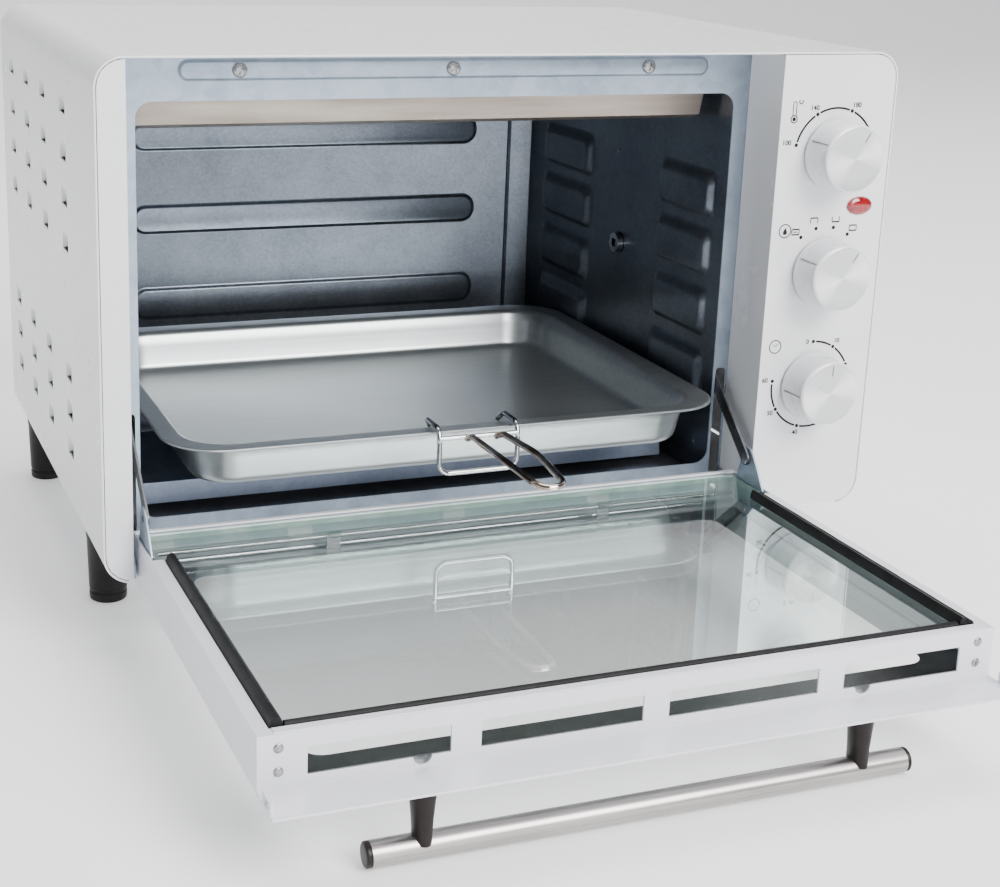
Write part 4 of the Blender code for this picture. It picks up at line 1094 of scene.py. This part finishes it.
# indicator lens with a faceted dome and a rim
LX, LZ = 221.0, F + 192.0
secs = []
for rx, rz, y in ((7.2, 4.2, 2.4), (7.2, 4.2, 0.2), (8.6, 5.4, 0.15), (8.7, 5.5, -0.5), (8.4, 5.2, -0.9), (8.0, 4.9, -0.9),
                  (7.5, 4.5, -1.2), (6.2, 3.6, -1.75), (4.2, 2.3, -2.02), (0.2, 0.12, -2.09)):
    secs.append([(LX + rx * math.cos(2 * math.pi * k / 48), y, LZ + rz * math.sin(2 * math.pi * k / 48)) for k in range(48)])
ob = new_object("indicator_dome", loft_bm(secs), LENSM, BODYM, True, None, 25)
stand_for(ob, "body", "red_lens", "indicator_lens")

# ----------------------------------------------------------------------- tray
def tray_outline(inset, r):
    return rrect(TX0 + inset, TY0 + inset, TX1 - inset, TY1 - inset, r, 12)


zt_ = RIM_Z
secs = [(22.5, 20.0, zt_ - 27.0), (20.2, 22.0, zt_ - 26.4), (18.6, 23.6, zt_ - 24.6), (17.6, 24.6, zt_ - 22.0),
        (15.2, 26.4, zt_ - 10.0), (13.4, 27.6, zt_ - 3.4), (12.2, 28.6, zt_ - 1.9), (10.2, 29.4, zt_ - 1.3), (3.0, 32.6, zt_ - 1.2),
        (1.0, 33.4, zt_ - 1.6), (0.2, 33.8, zt_ - 1.2), (0.0, 34.0, zt_ - 0.6), (0.5, 33.6, zt_ - 0.05), (1.6, 33.2, zt_),
        (3.0, 32.6, zt_ - 0.25), (10.6, 29.4, zt_ - 0.4), (12.8, 28.2, zt_ - 1.1), (14.2, 27.2, zt_ - 3.4),
        (16.2, 25.6, zt_ - 10.0), (18.4, 23.8, zt_ - 21.6), (19.4, 22.8, zt_ - 23.8), (21.0, 21.4, zt_ - 25.4),
        (23.5, 19.4, zt_ - 26.0)]
bm = loft_bm([[(x, y, z) for x, y in tray_outline(i, r)] for i, r, z in secs])
ob = new_object("roasting_tray_pressing", bm, TRAYM, BODYM, True, None, 50)
stand_for(ob, "tray", "tray_aluminium", "roasting_tray")

# chrome lifting tool
hx, hy, HOOK = -27.0, TY0 - 5.0, 24.0
zt = RIM_Z + 3.2
FY, FZ = hy - 2.5, zt - 5.0
hooks = [(hx - HOOK + 3, hy + 21.5, zt - 4.5), (hx - HOOK, hy + 19, zt + 0.5), (hx - HOOK, hy + 1, zt + 0.5),
         (hx - HOOK, hy - 2.5, zt - 5), (hx - HOOK, hy - 2.5, zt - 22), (hx - HOOK + 4, hy - 2.5, zt - 26),
         (hx + HOOK - 4, hy - 2.5, zt - 26), (hx + HOOK, hy - 2.5, zt - 22), (hx + HOOK, hy - 2.5, zt - 5),
         (hx + HOOK, hy + 1, zt + 0.5), (hx + HOOK, hy + 19, zt + 0.5), (hx + HOOK - 3, hy + 21.5, zt - 4.5)]


def rounded_wire(ctrl, radius, corner, seg=14):
    pts = [Vector(ctrl[0])]
    for i in range(1, len(ctrl) - 1):
        p, a, b = Vector(ctrl[i]), Vector(ctrl[i - 1]), Vector(ctrl[i + 1])
        k = min(corner, (a - p).length * 0.46, (b - p).length * 0.46)
        s, e = p + (a - p).normalized() * k, p + (b - p).normalized() * k
        for j in range(8):
            t = j / 7
            pts.append(s * (1 - t) ** 2 + p * 2 * t * (1 - t) + e * t * t)
    pts.append(Vector(ctrl[-1]))
    n = len(pts)
    pts = [pts[0], pts[0].lerp(pts[1], 0.12)] + pts[1:-1] + [pts[-1].lerp(pts[-2], 0.12), pts[-1]]
    rr = [radius * 0.55] + [radius] * (len(pts) - 2) + [radius * 0.55]
    return tube_bm(pts, rr, seg)


bm = rounded_wire(hooks, 1.5, 4.0)
join_bm(bm, tube_bm([(hx - HOOK, FY, FZ), (hx + HOOK, FY, FZ)], 1.3, 14))
ob = new_object("tray_tool_hooks", bm, CHROME, BODYM, True, None, 60)
stand_for(ob, "tray", "chrome", "tray_handle_hooks")
loop = [(hx - 9, FY - 3.7, FZ), (hx - 9.5, FY - 12, FZ + 4.0), (hx - 11, FY - 56, FZ + 6), (hx - 8, FY - 95, FZ + 4),
        (hx - 4, FY - 101, FZ + 3.4), (hx + 4, FY - 101, FZ + 3.4), (hx + 8, FY - 95, FZ + 4), (hx + 11, FY - 56, FZ + 6),
        (hx + 9.5, FY - 12, FZ + 4.0), (hx + 9, FY - 3.7, FZ)]
ob = new_object("tray_tool_loop", rounded_wire(loop, 1.9, 9.0), CHROME_BROWN, BODYM, True, None, 60)
stand_for(ob, "tray_grip", "chrome", "tray_handle")


# ----------------------------------------------------------------------- door
def dbox_bm(spans, m=DOORM):
    return boxes_bm([((x0, -u1, -v1), (x1, -u0, -v0)) for (x0, u0, v0), (x1, u1, v1) in spans], m)


df = refine("door_frame", "door", WHITE_DOOR, "white_enamel", 0.0)
cuts = []
for x in (XC - 114.0, XC + 114.0):
    c = tube_bm([(x, -(L - 4.0), -20.6), (x, -(L + 4.0), -20.6)], 4.4, 32)
    c.transform(DOORM)
    cuts.append(c)
for x in (DOOR_X0, DOOR_X1):
    cuts.append(dbox_bm([((x - 3, L + 11.5, T - 5.4), (x + 3, L + 17.5, T - 2.6))]))
boolean_cut(df, cuts)
resharpen(df, 40)
bevel(df, 0.55, 3, 40)

SLOTS = ((-198.0, -132.0), (-117.5, -37.0), (-23.5, 57.0), (71.5, 138.0))


def rivet_bm(p, axis, r=2.6, h=1.1, seg=24):
    """Domed rivet at p (door coordinates x, -u, -v), pointing along axis."""
    prof = [(r * 0.6, -1.0), (r * 0.6, 0.0), (r, 0.0), (r, h * 0.25)]
    for k in range(1, 6):
        a = math.pi / 2 * k / 5
        prof.append((max(0.03, r * math.cos(a)), h * 0.25 + h * 0.75 * math.sin(a)))
    b = turned_bm(prof, seg)
    q = Vector((0, -1, 0)).rotation_difference(Vector(axis)).to_matrix().to_4x4()
    b.transform(Matrix.Translation(p) @ q)
    return b


riv = bmesh.new()
for x in (DOOR_X0 + 9.5, DOOR_X1 - 9.5):
    for v in (6.5, 17.5):
        join_bm(riv, rivet_bm((x, -L, -v), (0, -1, 0), 2.3, 0.8))
for s, x in ((-1, DOOR_X0), (1, DOOR_X1)):
    join_bm(riv, rivet_bm((x - s * 0.3, -(L + 14), -(T - 4.6)), (s, 0, 0), 1.9, 0.28))
ob = new_object("door_rivets", riv, STEEL, DOORM, True, None, 40)
stand_for(ob, "door", "chrome")

# a rolled lip along the near edge of the door tray, where the inner pane sits
lips = bmesh.new()
for u, w in ((L - 3.6, 5.6),):
    prof = [(-w / 2, 0.0), (-w / 2, -0.15), (-w / 2 + 0.5, -0.5), (w / 2 - 0.5, -0.5), (w / 2, -0.15), (w / 2, 0.0)]
    join_bm(lips, loft_bm([[(x, -(u + a), -b) for a, b in prof] for x in (DOOR_X0 + 8.0, DOOR_X1 - 8.0)]))
ob = new_object("door_near_lip", lips, WHITE_DOOR, DOORM, True, None, 30)
stand_for(ob, "door", "white_enamel")

# glass, with the outer pane's printed border
keep("inner_glass", GLASS_IN)
keep("outer_glass", GLASS_OUT)
gb0, gb1 = 9.6, L - 2.4
bx0, bx1 = DOOR_X0 + 2.6, DOOR_X1 - 2.6
outer = [(x, -y) for x, y in rrect(bx0, gb0, bx1, gb1, 2.0, 4)]
inner = [(x, -y) for x, y in rrect(bx0 + 24.0, gb0 + 14.0, bx1 - 24.0, gb1 - 12.5, 10.0, 8)]
bmb = plate_bm([outer, inner], "XY", -(T - 1.2 - 4.45), -(T - 1.2 - 4.6))
ob = new_object("glass_border_print", bmb, BORDER, DOORM, False)
stand_for(ob, "door", "black_plastic")

# inner pane's bevelled edge reads as a bright green-white line
edge_t = Tree("ground_glass_edge").set(metal=0.0, trans=0.0, spec=0.6)
edge_t.color(edge_t.ramp(edge_t.noise(60.0), [(0.3, (0.28, 0.5, 0.42)), (0.7, (0.62, 0.8, 0.74))]))
edge_t.rough(edge_t.span(edge_t.noise(200.0), 0.15, 0.35))
GEDGE = edge_t.mat
e = bmesh.new()
x0e, x1e = DOOR_X0 + 3.35, DOOR_X1 - 3.35
for lo, hi in (((x0e, 3.9, 1.58), (x0e + 0.25, L - 1.75, 5.62)), ((x1e - 0.25, 3.9, 1.58), (x1e, L - 1.75, 5.62)),
               ((x0e, 3.9, 1.58), (x1e, 4.15, 5.62)), ((x0e, L - 2.0, 1.58), (x1e, L - 1.75, 5.62))):
    join_bm(e, dbox_bm([(lo, hi)], Matrix.Identity(4)))
ob = new_object("inner_pane_edges", e, GEDGE, DOORM, False)
stand_for(ob, "door", "glass")

# seals: a bulb with a flat foot; the right one carries two lips
GX0, GX1 = DOOR_X0 + 7.4, DOOR_X1 - 7.4


def seal(name, node, xa, xb, lips_n, u0=48.0, u1=L - 7.0, top=-4.2):
    w = xb - xa
    if lips_n == 1:
        prof = [(xa, 1.25), (xb, 1.25), (xb, 0.0), (xb - 0.5, -1.0), (xb - 0.9, -2.4), (xb - 1.9, -3.6), (xa + w / 2, top),
                (xa + 1.9, -3.6), (xa + 0.9, -2.4), (xa + 0.5, -1.0), (xa, 0.0)]
    else:
        m = xa + w * 0.52
        prof = [(xa, 1.25), (xb, 1.25), (xb, -0.2), (xb - 0.4, -1.4), (xb - 1.5, -2.2), (m + 1.0, -1.5), (m + 0.4, -0.7),
                (m - 0.4, -0.9), (m - 0.7, -2.6), (m - 1.6, -3.8), (xa + 1.6, top), (xa + 0.6, -3.2), (xa + 0.2, -1.4)]
    st = [u0 + (u1 - u0) * k / 24 for k in range(25)]
    secs_ = []
    for k, u in enumerate(st):
        wob = 0.12 * math.sin(k * 1.7)
        secs_.append([(a + (wob if b < 0 else 0), -u, -b) for a, b in prof])
    ob_ = new_object(name, loft_bm(secs_), RUBBER, DOORM, True, None, 48)
    stand_for(ob_, "door", "gasket", node)


seal("side_seal_left", "gasket_left", GX0, GX0 + 6.5, 1)
seal("side_seal_right", "gasket_right", GX1 - 8.5, GX1, 2)
prof = [(L - 10.6, 1.25), (L - 7.0, 1.25), (L - 7.0, -0.4), (L - 7.6, -1.3), (L - 8.8, -1.6), (L - 10.0, -1.3), (L - 10.6, -0.4)]
ob = new_object("near_seal", loft_bm([[(x, -u, -v) for u, v in prof] for x in
                                      [GX0 + 7.0 + (GX1 - 9.0 - GX0 - 7.0) * k / 20 for k in range(21)]]), RUBBER, DOORM, True, None, 48)
stand_for(ob, "door", "gasket", "gasket_top")

# bright retaining rod under the inner pane near the hinge, held by two bent tabs
bm = tube_bm([(DOOR_X0 + 10, -17.0, -8.6), (DOOR_X1 - 10, -17.0, -8.6)], 1.2, 14)
for x in (XC - 78, XC + 92):
    join_bm(bm, loft_bm([[(x - 4, -14.0, -T + 1.2), (x + 4, -14.0, -T + 1.2), (x + 4, -15.0, -T + 1.2), (x - 4, -15.0, -T + 1.2)],
                         [(x - 4, -14.6, -7.6), (x + 4, -14.6, -7.6), (x + 4, -15.6, -7.6), (x - 4, -15.6, -7.6)],
                         [(x - 4, -15.4, -6.4), (x + 4, -15.4, -6.4), (x + 4, -16.2, -7.2), (x - 4, -16.2, -7.2)],
                         [(x - 4, -20.0, -6.2), (x + 4, -20.0, -6.2), (x + 4, -20.0, -7.0), (x - 4, -20.0, -7.0)]]))
ob = new_object("pane_retaining_rod", bm, CHROME, DOORM, True, None, 40)
stand_for(ob, "door", "chrome")

# handle
bx = XC + 1.0
half = BAR_LEN / 2
prof = [(-half + 3.0, BAR_R - 0.02), (-half + 3.05, BAR_R), (half - 3.05, BAR_R), (half - 3.0, BAR_R - 0.02)]
ts = [p for p, _ in prof]
pts, rad = [], []
for k in range(25):
    pts.append((bx - half + 2.8 + (2 * half - 5.6) * k / 24, -BAR_U, -BAR_V))
    rad.append(BAR_R)
ob = new_object("handle_tube", tube_bm(pts, rad, 48), BAR, DOORM, True, None, 40)
stand_for(ob, "door", "brushed_steel", "handle_bar")
caps = bmesh.new()
for s in (-1, 1):
    c = [(bx + s * (half - 2.9), BAR_R - 0.35), (bx + s * (half - 2.2), BAR_R - 0.1), (bx + s * (half - 0.8), BAR_R - 0.15),
         (bx + s * (half - 0.2), BAR_R - 0.8), (bx + s * half, BAR_R - 1.8), (bx + s * half, 0.4)]
    join_bm(caps, tube_bm([(p, -BAR_U, -BAR_V) for p, _ in c], [r for _, r in c], 40, up=(0, 0, 1)))
ob = new_object("handle_end_caps", caps, POSTM, DOORM, True, None, 35)
stand_for(ob, "door", "black_plastic")
for n, x in (("handle_post_left", XC - 114.0), ("handle_post_right", XC + 114.0)):
    secs = []
    for v, rx, ru in ((T + 0.3, 7.0, 7.4), (T + 0.9, 7.3, 7.7), (T + 2.2, 7.2, 7.6), (T + 6, 6.8, 7.3), (T + 14, 5.9, 6.9), (T + 24, 4.9, 6.6),
                      (BAR_V - 7.2, 4.5, 6.7), (BAR_V - 4.0, 4.4, 7.0), (BAR_V - 2.6, 4.3, 7.0)):
        secs.append([(x + rx * math.cos(2 * math.pi * k / 40), -BAR_U + ru * math.sin(2 * math.pi * k / 40), -v) for k in range(40)])
    ob = new_object(n + "_moulding", loft_bm(secs), POSTM, DOORM, True, None, 40)
    seg = 40
    cut = bmesh.new()
    cut_t = tube_bm([(x - 20, -BAR_U, -BAR_V), (x + 20, -BAR_U, -BAR_V)], BAR_R + 0.15, 48)
    cut_t.transform(DOORM)
    cut.free()
    boolean_cut(ob, [cut_t])
    resharpen(ob, 40)
    stand_for(ob, "door", "black_plastic", n)

for n in ("ear_left", "ear_right"):
    refine(n, "door", GALV, "galvanised", 0.2, 2)
for n in ("link_left", "link_right"):
    refine(n, n, DARKSTEEL, "dark_steel", 0.25, 2)

# heads of the link rivets, turned bright
for n, s in (("link_left", -1), ("link_right", 1)):
    lo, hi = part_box(n)
    pin = Vector((0, 0, 0))
    # the pin's centre: axis + R(-TILT) (y, z)
    pl = DOORM @ Vector((0.0, -20.0, 14.0))
    xin = (hi[0] if s < 0 else lo[0])
    b = turned_bm([(0.05, -0.2), (3.3, -0.2), (3.35, 0.08), (3.1, 0.2), (2.2, 0.28), (1.1, 0.31), (0.05, 0.32)], 32)
    b.transform(Matrix.Scale(0.001, 4))
    b.transform(Matrix.Translation((xin, pl.y, pl.z)) @ Matrix.Rotation(s * math.pi / 2 * -1, 4, "Z"))
    ob = new_object("%s_rivet_head" % n, b, STEEL, Matrix.Identity(4), True, None, 35)
    stand_for(ob, n, "chrome")

# ------------------------------------------------------- floor, lights, camera
def floor():
    t = Tree("studio_floor_paint").set(metal=0.0, spec=0.3)
    t.color(t.ramp(t.noise(1.2, 3.0, 0.5), [(0.3, (0.88, 0.883, 0.89)), (0.7, (0.91, 0.913, 0.92))]))
    t.rough(t.span(t.noise(6.0), 0.5, 0.62))
    t.bsdf.inputs["Emission Color"].default_value = (1.0, 1.0, 1.0, 1.0)
    t.bsdf.inputs["Emission Strength"].default_value = 0.38
    bm = bmesh.new()
    ys = [(-6.0, 0.0), (3.0, 0.0)] + [(3.0 + 1.6 * math.sin(math.radians(a)), 1.6 - 1.6 * math.cos(math.radians(a)))
                                      for a in range(9, 91, 9)] + [(4.6, 6.0)]
    prev = None
    for y, z in ys:
        row = [bm.verts.new((-7.0, y, z)), bm.verts.new((7.0, y, z))]
        if prev:
            bm.faces.new((prev[0], prev[1], row[1], row[0]))
        prev = row
    me = bpy.data.meshes.new("studio_floor")
    bm.to_mesh(me)
    bm.free()
    me.materials.append(t.mat)
    me.shade_smooth()
    ob_ = bpy.data.objects.new("studio_floor", me)
    bpy.context.scene.collection.objects.link(ob_)


floor()


def area(name, loc, target, size, energy, color=(1, 1, 1), size_y=None, spread=None):
    li = bpy.data.lights.new(name, "AREA")
    li.energy = energy
    li.color = color
    li.shape = "RECTANGLE"
    li.size = size
    li.size_y = size_y or size
    ob_ = bpy.data.objects.new(name, li)
    ob_.location = loc
    d = Vector(target) - Vector(loc)
    ob_.rotation_euler = d.to_track_quat("-Z", "Y").to_euler()
    bpy.context.scene.collection.objects.link(ob_)
    return ob_


area("key_softbox", (0.9, -2.4, 2.0), (0, 0, 0.15), 1.6, 150.0, (1.0, 0.99, 0.975))
area("front_softbox", (0.3, -3.0, 0.7), (0, 0, 0.15), 1.6, 26.0, (0.97, 0.985, 1.0))
area("top_softbox", (0.2, 0.3, 2.8), (0, 0.05, 0), 2.2, 80.0, (1, 1, 1))
area("left_strip", (-2.6, -0.2, 1.3), (0, 0.1, 0.15), 0.9, 1.2, (0.95, 0.97, 1.0), 2.0)
area("rear_softbox", (0.6, 2.8, 2.0), (0, 0.1, 0.1), 1.6, 12.0, (1, 1, 1))

world_ = bpy.data.worlds.new("studio_world")
bpy.context.scene.world = world_
world_.use_nodes = True
bg = world_.node_tree.nodes["Background"]
bg.inputs["Color"].default_value = (0.93, 0.95, 1.0, 1.0)
bg.inputs["Strength"].default_value = 0.24

cam = bpy.data.cameras.new("photo_view")
cam.sensor_fit = "HORIZONTAL"
cam.sensor_width = 36.0
cam.lens = 1743.65 * 36.0 / 1000.0
cam.shift_x = (500.0 - 441.5) / 1000.0
cam.shift_y = (373.65 - 443.5) / 1000.0
cam.clip_start = 0.02
cam.clip_end = 40.0
cam_ob = bpy.data.objects.new("photo_view", cam)
cam_ob.location = (-0.39827, (-879.02 - Y_MID) * 0.001, 0.42062)
cam_ob.rotation_euler = (math.radians(74.13), math.radians(-1.825), math.radians(-21.233))
bpy.context.scene.collection.objects.link(cam_ob)
bpy.context.scene.camera = cam_ob
